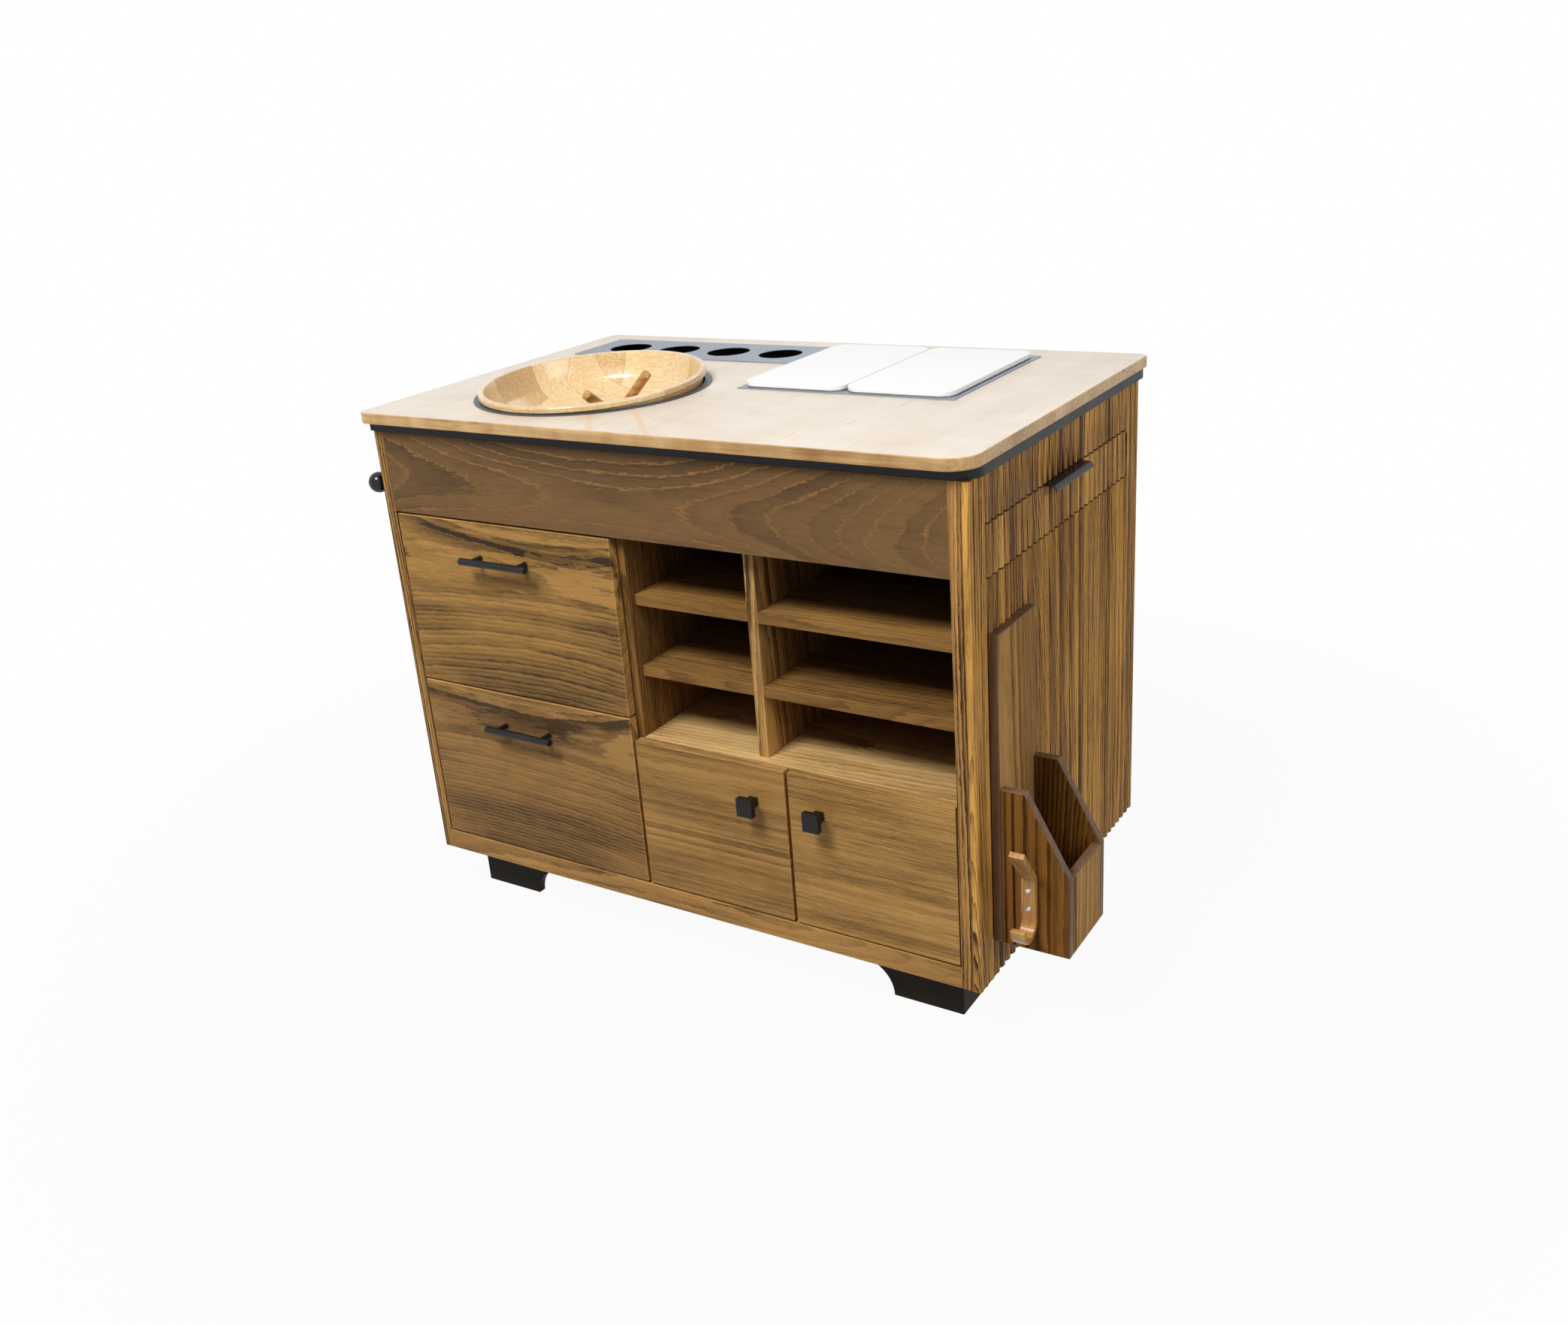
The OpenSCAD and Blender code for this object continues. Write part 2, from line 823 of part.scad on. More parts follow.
module wheel() {
    r = wheel_d / 2;
    e = 4;
    translate([trail, 0, r])
        rotate([90, 0, 0])
        rotate_extrude($fn = 96)
        polygon(concat([[axle_d / 2 + axle_gap, -hub_w / 2], [axle_d + 1, -hub_w / 2],
            [axle_d + 3, -tyre_w / 2 + 2], [r - 9, -tyre_w / 2 + 2], [r - 8, -tyre_w / 2]],
            [for (a = [0:30:90]) [r - e + e * sin(a), -tyre_w / 2 + e - e * cos(a)]],
            [for (a = [0:30:90]) [r - e + e * cos(a), tyre_w / 2 - e + e * sin(a)]],
            [[r - 8, tyre_w / 2], [r - 9, tyre_w / 2 - 2], [axle_d + 3, tyre_w / 2 - 2],
            [axle_d + 1, hub_w / 2], [axle_d / 2 + axle_gap, hub_w / 2]]));
}

module caster_fork(x, y) {
    color(steel)
        translate(origin + [x, y, 0])
        fork();
}

module caster_wheel(x, y) {
    color(black)
        translate(origin + [x, y, 0])
        wheel();
}

module bowl_ring() {
    color(black)
        translate(origin + [bowl_x, bowl_y, bench_h])
        difference() {
            union() {
                cylinder(d = ring_d, h = ring_t, $fn = 96);
                translate([0, 0, -collar_h])
                    cylinder(r = collar_r, h = collar_h + ring_t / 2, $fn = 96);
            }
            translate([0, 0, -collar_h - 1])
                cylinder(r = ring_in, h = collar_h + ring_t + 2, $fn = 96);
        }
}

// places a shape drawn in the bowl's own frame, tipped about the front of the ring
module in_bowl() {
    translate([bowl_x, bowl_y - rim_r, bench_h + ring_t + seat_gap])
        rotate([bowl_tip, 0, 0])
        translate([0, rim_r, -step_z])
        children();
}

// the inside of the bowl: a steep wall over a shallow dish
wall_r = rim_r - rim_t;
dish_r = wall_r - 16;
dish_z = bowl_h - bowl_wall_h;
dish_h = dish_z - bowl_floor;
dish_R = (dish_r * dish_r + dish_h * dish_h) / (2 * dish_h);
function dish(r) = bowl_floor + dish_R - sqrt(dish_R * dish_R - r * r);

// where the servers' heads stand in the dish
spoon_x = -0.13 * dish_r;
spoon_y = 0.366 * dish_r;
spoon_turn = -9.6;
spoon_tilt = 48;
fork_x = 0.499 * dish_r;
fork_y = 0;
fork_turn = -94.7;
fork_tilt = 50;

module bowl() {
    foot = bowl_foot / 2;
    outside = [for (a = [90:-7.5:0])
        [foot + (body_r - foot) * cos(a), bowl_h * (1 - sin(a))]];
    below = [for (p = outside) if (p[1] < step_z - 4) p];
    steep = [for (i = [0:6])
        [wall_r - 16 * pow(i / 6, 1.6), bowl_h - bowl_wall_h * i / 6]];
    shallow = [for (i = [1:8]) [dish_r * (1 - i / 8), dish(dish_r * (1 - i / 8))]];
    color(pale_wood)
        translate(origin)
        in_bowl()
        rotate_extrude($fn = 96)
        polygon(concat([[0, 3], [foot - 12, 3], [foot - 10, 0]], below,
            [[body_r, step_z], [rim_r - 0.5, step_z], [rim_r, step_z + 1],
            [rim_r, bowl_h - 2], [rim_r - 2, bowl_h], [wall_r + 2, bowl_h]],
            [for (p = steep) if (p[1] < bowl_h - 1) p], shallow));
}

// a server that stands on its head: drawn upright, with the tip at zero
module server(slots) {
    difference() {
        union() {
            translate([0, head_t / 2, 0])
                rotate([90, 0, 0])
                linear_extrude(head_t) {
                    translate([0, head_w / 2])
                        circle(d = head_w, $fn = 64);
                    polygon([[-head_w / 2, head_w / 2], [head_w / 2, head_w / 2],
                        [serve_d / 2, head_len + 10], [-serve_d / 2, head_len + 10]]);
                }
            translate([0, 0, head_len])
                cylinder(d = serve_d, h = serve_len - head_len, $fn = 48);
        }
        if (slots)
            for (x = [-head_w / 6 - 2, head_w / 6 - 2])
                translate([x, -head_t, -1])
                    cube([4, 2 * head_t, head_len / 2 + 1]);
        else
            translate([0, head_t / 2 + 1, head_w / 2])
                rotate([90, 0, 0])
                cylinder(d1 = 0.8 * head_w, d2 = 0.6 * head_w, h = scoop + 1, $fn = 64);
    }
}

module serving_spoon() {
    color(pale_wood)
        translate(origin)
        in_bowl()
        translate([spoon_x, spoon_y, dish(norm([spoon_x, spoon_y])) + 0.52 * head_t])
        rotate([0, 0, spoon_turn])
        rotate([0, spoon_tilt, 0])
        rotate([0, 0, 90])
        server(false);
}

module serving_fork() {
    color(pale_wood)
        translate(origin)
        in_bowl()
        translate([fork_x, fork_y, dish(norm([fork_x, fork_y])) + 0.76 * head_t])
        rotate([0, 0, fork_turn])
        rotate([0, fork_tilt, 0])
        rotate([0, 0, 90])
        server(true);
}

module bottle_plate() {
    color(steel)
        translate(origin)
        difference() {
            translate([plate_x, plate_y, bench_h])
                cube([plate_w, plate_d, plate_t]);
            for (k = [0:holes - 1])
                translate([plate_x + hole_in + k * hole_pitch, plate_y + plate_d / 2, bench_h - 1])
                    cylinder(d = hole_d, h = plate_t + 2, $fn = 96);
        }
}

module bottle_box() {
    lo = [plate_x + plate_edge, plate_y + plate_edge, bench_h - well_h];
    hi = [plate_x + plate_w - plate_edge, plate_y + plate_d - plate_edge, bench_h];
    color(black)
        translate(origin)
        difference() {
            span(lo, hi);
            span(lo + [well_t, well_t, well_t], hi + [-well_t, -well_t, 1]);
        }
}

module pan_frame() {
    color(steel)
        translate(origin)
        difference() {
            translate([frame_x, frame_y, bench_h])
                cube([frame_w, frame_d, frame_t]);
            for (s = [-1, 1])
                translate([frame_cx + s * pan_dx - pan_body_w / 2 - insert_play,
                    frame_cy - pan_body_l / 2 - insert_play, bench_h - 1])
                    linear_extrude(frame_t + 2)
                    round_rect([pan_body_w + 2 * insert_play, pan_body_l + 2 * insert_play],
                        pan_r + insert_play);
        }
}

// the deep part of a pan
module pan(s) {
    color("silver")
        translate(origin + [frame_cx + s * pan_dx, frame_cy, pan_z])
        difference() {
            translate([-pan_body_w / 2, -pan_body_l / 2, pan_t - pan_h])
                linear_extrude(pan_h)
                round_rect([pan_body_w, pan_body_l], pan_r);
            translate([-pan_body_w / 2 + pan_t, -pan_body_l / 2 + pan_t, 2 * pan_t - pan_h])
                linear_extrude(pan_h)
                round_rect([pan_body_w - 2 * pan_t, pan_body_l - 2 * pan_t], pan_r - pan_t);
        }
}

// the flange that lies on the frame
module pan_flange(s) {
    color("silver")
        translate(origin + [frame_cx + s * pan_dx, frame_cy, pan_z])
        linear_extrude(pan_t)
        difference() {
            translate([-pan_w / 2, -pan_l / 2])
                round_rect([pan_w, pan_l], pan_r + flange_w);
            translate([-pan_body_w / 2, -pan_body_l / 2])
                round_rect([pan_body_w, pan_body_l], pan_r);
        }
}

module lid(s) {
    in = flange_w + lid_over + pan_t + 1;
    color("white")
        translate(origin + [frame_cx + s * pan_dx, frame_cy, lid_z]) {
            translate([-lid_w / 2, -lid_l / 2, 0])
                linear_extrude(lid_t)
                round_rect([lid_w, lid_l], lid_r);
            translate([-lid_w / 2 + in, -lid_l / 2 + in, -lid_plug])
                linear_extrude(lid_plug + 1)
                difference() {
                    round_rect([lid_w - 2 * in, lid_l - 2 * in], pan_r);
                    translate([3, 3])
                        round_rect([lid_w - 2 * in - 6, lid_l - 2 * in - 6], pan_r - 3);
                }
        }
}

module push_bar() {
    y0 = push_in;
    y1 = top_d - push_in;
    color(black)
        translate(origin) {
            translate([push_x, y0, push_z])
                rotate([-90, 0, 0])
                cylinder(d = push_d, h = y1 - y0, $fn = 64);
            for (y = [y0, y1])
                translate([push_x, y, push_z])
                    sphere(d = ball_d, $fn = 64);
            for (y = [y0 + push_post, y1 - push_post]) {
                translate([push_x, y, push_z])
                    rotate([0, 90, 0])
                    cylinder(d = push_post_d, h = push_out, $fn = 48);
                translate([left_x0 - rosette_t, y, push_z])
                    rotate([0, 90, 0])
                    cylinder(d = rosette_d, h = rosette_t, $fn = 64);
            }
        }
}

module rack_back() {
    color(dark_wood)
        translate(origin)
        span([rack_x, rack_y, rack_z], [pocket_x, rack_y + rack_w, rack_z + rack_h]);
}

module rack_cheeks() {
    color(dark_wood)
        translate(origin)
        for (y = [rack_y, rack_y + rack_w - rack_t])
            translate([pocket_x, y + rack_t, rack_z])
                rotate([90, 0, 0])
                linear_extrude(rack_t)
                polygon([[0, 0], [rack_d, 0], [rack_d, pocket_h], [cheek_top, cheek_h],
                    [0, cheek_h]]);
}

// the low front and the floor between the cheeks
module rack_pocket() {
    color(dark_wood)
        translate(origin) {
            span([pocket_x + rack_d - rack_t, rack_y + rack_t, rack_z],
                [pocket_x + rack_d, rack_y + rack_w - rack_t, rack_z + pocket_h]);
            span([pocket_x, rack_y + rack_t, rack_z],
                [pocket_x + rack_d - rack_t, rack_y + rack_w - rack_t, rack_z + rack_t]);
        }
}

// a strip of the given thickness along the points of a path
function normals(p) = [for (i = [0:len(p) - 1])
    let (d = p[min(i + 1, len(p) - 1)] - p[max(i - 1, 0)])
    [-d[1], d[0]] / norm(d)];
function strip(p, t) =
    let (n = normals(p))
    concat([for (i = [0:len(p) - 1]) p[i] + n[i] * t / 2],
        [for (i = [len(p) - 1:-1:0]) p[i] - n[i] * t / 2]);

module double_hook() {
    z0 = hook_z;
    z1 = hook_z + hook_plate;
    y = hook_t / 2;
    path = concat(
        [[arm_out, z1 + arm_up]],
        [for (i = [0:4]) [y + (arm_out - y) * 0.2 * pow(1 - i / 4, 1.5), z1 + arm_up * 0.2 * (1 - i / 4)]],
        [[y, z0 + 8]],
        [for (a = [0:18:180]) [y + hook_r - hook_r * cos(a), z0 - hook_r * sin(a)]],
        [[y + 2 * hook_r, z0 + hook_lip]]);
    color(pale_wood)
        translate(origin + [pocket_x + hook_x - hook_w / 2, rack_y, rack_z])
        rotate([90, 0, 90])
        linear_extrude(hook_w)
        mirror([1, 0])
        polygon(strip(path, hook_t));
}

module front_plate(x0, z0, w, h) {
    translate([x0, body_y0, z0])
        cube([w, front_t, h]);
}

module drawer_box(z0) {
    lo = [box_x0, front_y1, z0 + box_lift];
    hi = [box_x0 + box_w, front_y1 + box_len, z0 + box_lift + box_h];
    difference() {
        span(lo, hi);
        span(lo + [box_t, box_t, bottom_t], hi + [-box_t, -box_t, 1]);
    }
}

module bar_handle(z) {
    x = drawer_x0 + drawer_w / 2;
    y = body_y0 - bar_out;
    translate([x - bar_len / 2, y, z])
        rotate([0, 90, 0])
        cylinder(d = bar_d, h = bar_len, $fn = 64);
    for (s = [-1, 1])
        translate([x + s * post_gap / 2, y, z])
            rotate([-90, 0, 0])
            cylinder(d = post_d, h = bar_out, $fn = 48);
}

module upper_drawer_front() {
    color(wood)
        translate(origin)
        front_plate(drawer_x0, upper_z0, drawer_w, front_h);
}

module upper_drawer_box() {
    color(pale_wood)
        translate(origin)
        drawer_box(upper_z0);
}

module upper_handle() {
    color(black)
        translate(origin)
        bar_handle(upper_z0 + front_h - bar_drop);
}

module lower_drawer_front() {
    color(wood)
        translate(origin)
        front_plate(drawer_x0, lower_z0, drawer_w, front_h);
}

module lower_drawer_box() {
    color(pale_wood)
        translate(origin)
        drawer_box(lower_z0);
}

module lower_handle() {
    color(black)
        translate(origin)
        bar_handle(lower_z0 + front_h - bar_drop);
}

// a door with two blind bores for its cups; cx is the cups' place along the front
module door(x0, cx) {
    difference() {
        front_plate(x0, door_z0, door_w, door_h);
        for (z = [door_z0 + cup_end, door_z1 - cup_end])
            translate([cx, front_y1 + 1, z])
                rotate([90, 0, 0])
                cylinder(d = cup_d, h = cup_h + 1, $fn = 64);
    }
}

module hinge_cups(cx) {
    for (z = [door_z0 + cup_end, door_z1 - cup_end])
        translate([cx, front_y1, z])
            difference() {
                union() {
                    translate([0, 0.2, 0])
                        rotate([90, 0, 0])
                        cylinder(r = cup_d / 2 - cup_gap, h = cup_h, $fn = 64);
                    translate([-cup_d / 2 + 4, 0, -cup_plate / 2])
                        cube([cup_d - 8, cup_flange, cup_plate]);
                }
                translate([0, cup_flange + 1, 0])
                    rotate([90, 0, 0])
                    cylinder(r = cup_d / 2 - 4.5, h = cup_h, $fn = 64);
            }
    for (z = [door_z0 + cup_end, door_z1 - cup_end])
        translate([cx - arm_w / 2 + 2, front_y1 - cup_h + 1, z - arm_w / 2 + 1])
            cube([arm_w - 4, cup_h - 1 + cup_flange, arm_w - 2]);
}

module knob(x) {
    z = door_z1 - knob_drop;
    translate([x - knob_w / 2, body_y0 - knob_out, z - knob_h / 2])
        cube([knob_w, knob_t, knob_h]);
    translate([x - neck_w / 2, body_y0 - knob_out + knob_t / 2, z - neck_w / 2])
        cube([neck_w, knob_out - knob_t / 2, neck_w]);
}

module left_door() {
    color(wood)
        translate(origin)
        door(doors_x0, doors_x0 + cup_in);
}

module left_knob() {
    color(black)
        translate(origin)
        knob(doors_x0 + door_w - left_knob_in);
}

module left_hinge_cups() {
    color(steel)
        translate(origin)
        hinge_cups(doors_x0 + cup_in);
}

module right_door() {
    color(wood)
        translate(origin)
        door(door2_x0, doors_x1 - cup_in);
}

module right_knob() {
    color(black)
        translate(origin)
        knob(door2_x0 + right_knob_in);
}

module right_hinge_cups() {
    color(steel)
        translate(origin)
        hinge_cups(doors_x1 - cup_in);
}

module side_drawer_front() {
    color(wood)
        translate(origin)
        intersection() {
            reeded_sheet();
            span([clad_x0 - 1, sd_y0, sd_z0], [clad_x1 + 1, sd_y1, sd_z1]);
        }
}

module side_drawer_box() {
    lo = [sdb_x0, sdb_y0, sdb_z0];
    hi = [clad_x0, sdb_y1, sdb_z0 + sd_box_h];
    color(pale_wood)
        translate(origin)
        difference() {
            span(lo, hi);
            span(lo + [box_t, box_t, bottom_t], hi + [-box_t, -box_t, 1]);
        }
}

// a folded sheet: it lies on the front's upper edge and curves out and down
module side_pull() {
    path = concat([[-8, pull_t / 2], [0, pull_t / 2]],
        [for (a = [90:-15:0]) [pull_out - pull_h * 0.8 + pull_h * 0.8 * cos(a) - pull_t / 2,
            pull_t / 2 - pull_h * 0.8 + pull_h * 0.8 * sin(a)]],
        [[pull_out - pull_t / 2, pull_t / 2 - pull_h]]);
    color(black)
        translate(origin + [clad_x1, (sd_y0 + sd_y1) / 2 + pull_len / 2, sd_z1])
        rotate([90, 0, 0])
        linear_extrude(pull_len)
        polygon(strip(path, pull_t));
}

worktop();
trim_band();
left_side_board();
right_side_board();
reeded_cladding();
back_board();
front_rail();
bottom_rail();
base_board();
inner_ceiling();
main_divider();
middle_divider();
shelves();
pigeonhole_deck();
drawer_runners();
side_drawer_guides();
hinge_arms();
bracket_feet();
caster_plates();
caster_fork(cast_x0, cast_y0);  // fork_front_left
caster_fork(cast_x1, cast_y0);  // fork_front_right
caster_fork(cast_x0, cast_y1);  // fork_back_left
caster_fork(cast_x1, cast_y1);  // fork_back_right
caster_wheel(cast_x0, cast_y0);  // wheel_front_left
caster_wheel(cast_x1, cast_y0);  // wheel_front_right
caster_wheel(cast_x0, cast_y1);  // wheel_back_left
caster_wheel(cast_x1, cast_y1);  // wheel_back_right
bowl_ring();
bowl();
serving_spoon();
serving_fork();
bottle_plate();
bottle_box();
pan_frame();
pan(-1);  // left_pan
pan(1);  // right_pan
pan_flange(-1);  // left_pan_flange
pan_flange(1);  // right_pan_flange
lid(-1);  // left_lid
lid(1);  // right_lid
push_bar();
rack_back();
rack_cheeks();
rack_pocket();
double_hook();
upper_drawer_front();
upper_drawer_box();
upper_handle();
lower_drawer_front();
lower_drawer_box();
lower_handle();
left_door();
left_knob();
left_hinge_cups();
right_door();
right_knob();
right_hinge_cups();
side_drawer_front();
side_drawer_box();
side_pull();
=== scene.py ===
"""The looks of a salad cart: a wooden serving cabinet on casters.

Sizes are in metres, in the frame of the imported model: X along the front, Y to the
back, Z up from the floor.
"""

import json
import logging
import math
from dataclasses import dataclass, replace
from enum import Enum
from typing import Any, Callable, Mapping, Optional, Sequence, Union

import bmesh
import bpy
from mathutils import Euler, Matrix, Vector

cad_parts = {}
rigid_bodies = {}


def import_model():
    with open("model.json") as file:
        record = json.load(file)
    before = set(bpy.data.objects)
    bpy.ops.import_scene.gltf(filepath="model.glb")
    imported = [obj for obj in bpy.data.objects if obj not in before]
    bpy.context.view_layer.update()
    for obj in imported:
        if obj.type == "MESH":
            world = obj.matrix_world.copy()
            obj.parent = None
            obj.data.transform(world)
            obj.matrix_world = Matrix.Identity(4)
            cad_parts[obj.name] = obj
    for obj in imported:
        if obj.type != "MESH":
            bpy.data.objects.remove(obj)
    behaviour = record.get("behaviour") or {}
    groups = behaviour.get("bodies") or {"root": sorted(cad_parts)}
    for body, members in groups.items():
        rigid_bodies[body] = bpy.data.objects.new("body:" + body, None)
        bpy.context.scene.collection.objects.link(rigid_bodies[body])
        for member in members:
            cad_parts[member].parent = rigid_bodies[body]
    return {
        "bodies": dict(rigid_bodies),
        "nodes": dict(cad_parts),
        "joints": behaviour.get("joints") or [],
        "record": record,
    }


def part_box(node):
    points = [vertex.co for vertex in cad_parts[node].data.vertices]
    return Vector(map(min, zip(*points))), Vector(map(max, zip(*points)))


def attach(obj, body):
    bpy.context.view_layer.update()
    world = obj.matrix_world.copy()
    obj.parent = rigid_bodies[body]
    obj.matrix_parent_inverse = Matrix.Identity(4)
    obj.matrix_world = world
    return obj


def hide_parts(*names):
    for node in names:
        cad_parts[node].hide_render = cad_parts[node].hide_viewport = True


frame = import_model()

LOG = logging.getLogger("salad_cart")
MERGE = 2e-6  # vertices nearer than this are one
FLAT = 0.6  # faces that meet under this angle, in degrees, are one
SLACK = 1e-6  # share of a reed by which a whole number of reeds may be missed
FACING = 0.5  # least share of a normal along the axis that its face looks along
SENSOR = 36.0  # width of the camera's sensor, in millimetres
WHITE = (1.0, 1.0, 1.0)

Colour = tuple[float, float, float]
Point = tuple[float, float, float]
Material = bpy.types.Material
Face = bmesh.types.BMFace
Scale = Union[float, tuple[float, float]]
Sorter = Callable[[Face], int]


def screen(*parts: float) -> Colour:
    """Gives the linear colour of a screen colour, whose parts go from 0 to 255."""
    shares = (part / 255.0 for part in parts)
    return tuple(c / 12.92 if c <= 0.04045 else ((c + 0.055) / 1.055) ** 2.4 for c in shares)


def shade(colour: Colour, factor: float, lift: float = 0.0, limit: float = 1.0) -> Colour:
    """Gives a colour times a factor plus a lift, up to a limit."""
    return tuple(min(limit, share * factor + lift) for share in colour)


# ---- shader graphs


class Wire:
    """An output of a shader node. Arithmetic on it adds Math nodes."""

    def __init__(self, graph: "Graph", socket: bpy.types.NodeSocket) -> None:
        """Keeps the graph and the socket."""
        self.graph = graph
        self.socket = socket

    def __add__(self, other: "Value") -> "Wire":
        """Adds a value."""
        return self.graph.math("ADD", self, other)

    def __sub__(self, other: "Value") -> "Wire":
        """Takes a value away."""
        return self.graph.math("SUBTRACT", self, other)

    def __rsub__(self, other: "Value") -> "Wire":
        """Is taken away from a value."""
        return self.graph.math("SUBTRACT", other, self)

    def __mul__(self, other: "Value") -> "Wire":
        """Multiplies by a value."""
        return self.graph.math("MULTIPLY", self, other)

    def __truediv__(self, other: "Value") -> "Wire":
        """Divides by a value."""
        return self.graph.math("DIVIDE", self, other)

    def __rtruediv__(self, other: "Value") -> "Wire":
        """Divides a value."""
        return self.graph.math("DIVIDE", other, self)

    __radd__ = __add__
    __rmul__ = __mul__


Value = Union[Wire, float, int]


class Graph:
    """The node tree of one material or world."""

    def __init__(self, name: str, world: bool = False) -> None:
        """Starts an empty tree in a new material or world.

        Args:
            name: The material's or world's name.
            world: True for a world.
        """
        self.owner = (bpy.data.worlds if world else bpy.data.materials).new(name)
        self.owner.use_nodes = True
        self.tree = self.owner.node_tree
        self.tree.nodes.clear()

    def add(
        self,
        kind: str,
        settings: Optional[Mapping[str, Any]] = None,
        inputs: Optional[Mapping[Union[str, int], Any]] = None,
        out: Union[str, int] = 0,
    ) -> Wire:
        """Adds one node.

        Args:
            kind: The node's type name.
            settings: Its properties; "stops" gives a ramp's places and values.
            inputs: A wire or a plain value for each socket that is set.
            out: The output that is given back.

        Returns:
            The wire of that output.
        """
        node = self.tree.nodes.new(kind)
        for key, value in (settings or {}).items():
            if key == "stops":
                ramp = node.color_ramp
                while len(ramp.elements) < len(value):
                    ramp.elements.new(1.0)
                for element, (place, tone) in zip(ramp.elements, value):
                    element.position = place
                    element.color = (tone, tone, tone, 1.0)
            else:
                setattr(node, key, value)
        for key, value in (inputs or {}).items():
            socket = node.inputs[key]
            if isinstance(value, Wire):
                self.tree.links.new(value.socket, socket)
            elif socket.type == "RGBA" and len(value) == 3:
                socket.default_value = (*value, 1.0)
            else:
                socket.default_value = value
        return Wire(self, node.outputs[out])

    def math(self, operation: str, *values: Value, clamp: bool = False) -> Wire:
        """Adds a Math node; clamp keeps its result from 0 to 1."""
        settings = {"operation": operation, "use_clamp": clamp}
        return self.add("ShaderNodeMath", settings, dict(enumerate(values)))

    def mix(self, share: Value, first: Any, second: Any) -> Wire:
        """Mixes two colours; share is the second one's."""
        settings = {"data_type": "RGBA", "blend_type": "MIX", "clamp_factor": True}
        return self.add("ShaderNodeMix", settings, {0: share, 6: first, 7: second}, out=2)

    def noise(self, vector: Wire, scale: Scale, detail: float = 2.0, rough: float = 0.5) -> Wire:
        """Adds a noise texture around 0.5.

        Args:
            vector: The place.
            scale: Spots per metre, or spots per metre along the grain and across it.
            detail: Number of finer layers.
            rough: Weight of the finer layers.

        Returns:
            The noise's value.
        """
        if isinstance(scale, tuple):
            factors = {0: vector, 1: (scale[0], scale[1], scale[1])}
            vector = self.add("ShaderNodeVectorMath", {"operation": "MULTIPLY"}, factors)
            scale = 1.0
        inputs = {"Vector": vector, "Scale": scale, "Detail": detail, "Roughness": rough}
        return self.add("ShaderNodeTexNoise", None, inputs)

    def chance(self, value: Wire) -> Wire:
        """Gives a random value from 0 to 1 for each whole number."""
        inputs = {"W": self.math("FLOOR", value)}
        return self.add("ShaderNodeTexWhiteNoise", {"noise_dimensions": "1D"}, inputs)

    def ramp(
        self, value: Wire, stops: Sequence[tuple[float, float]], smooth: bool = False
    ) -> Wire:
        """Adds a ramp.

        Args:
            value: Its factor.
            stops: Places and values.
            smooth: True for an eased ramp.

        Returns:
            The ramp's value.
        """
        wire = self.add("ShaderNodeValToRGB", {"stops": stops}, {"Fac": value})
        if smooth:
            wire.socket.node.color_ramp.interpolation = "EASE"
        return wire

    def split(self, vector: Wire) -> tuple[Wire, Wire, Wire]:
        """Gives the three parts of a vector."""
        node = self.add("ShaderNodeSeparateXYZ", None, {"Vector": vector}).socket.node
        return tuple(Wire(self, node.outputs[axis]) for axis in "XYZ")

    def place(self) -> Wire:
        """Gives the object's own coordinates."""
        return self.add("ShaderNodeTexCoord", out="Object")

    def bump(self, height: Wire, strength: float, distance: float) -> Wire:
        """Gives the normal over a height; distance is a step from 0 to 1, in metres."""
        inputs = {"Height": height, "Strength": strength, "Distance": distance}
        return self.add("ShaderNodeBump", None, inputs)

    def seen(self) -> Wire:
        """Tells the rays that see things from those that light them.

        Returns:
            1 for camera, glossy and transmission rays, and 0 for others.
        """
        wire = self.add("ShaderNodeLightPath", out="Is Camera Ray")
        path = wire.socket.node
        for way in ("Is Glossy Ray", "Is Transmission Ray"):
            wire = self.math("MAXIMUM", wire, Wire(self, path.outputs[way]))
        return wire

    def finish(self, inputs: Mapping[Union[str, int], Any]) -> Material:
        """Ends the tree with a Principled shader that takes these inputs."""
        return self.end(self.add("ShaderNodeBsdfPrincipled", None, inputs))

    def end(self, shader: Wire) -> Any:
        """Links a shader to the output.

        Args:
            shader: The shader.

        Returns:
            The material or world.
        """
        kind = "World" if isinstance(self.owner, bpy.types.World) else "Material"
        output = self.tree.nodes.new(f"ShaderNodeOutput{kind}")
        self.tree.links.new(shader.socket, output.inputs["Surface"])
        return self.owner


# ---- finishes


class Grain(Enum):
    """The way a board's grain runs, as the turn that lays it along X."""

    ALONG = (0.0, 0.0, 0.0)
    DEEP = (0.0, 0.0, -math.pi / 2)
    UP = (0.0, math.pi / 2, 0.0)


@dataclass(frozen=True)
class Reeds:
    """Where the reeds of a cladding lie.

    Attributes:
        start: Y of the first full reed's groove.
        pitch: Distance from reed to reed.
        groove: Colour mixed into the grooves, which darkens them.
    """

    start: float
    pitch: float = 0.020
    groove: Colour = screen(44, 26, 10)


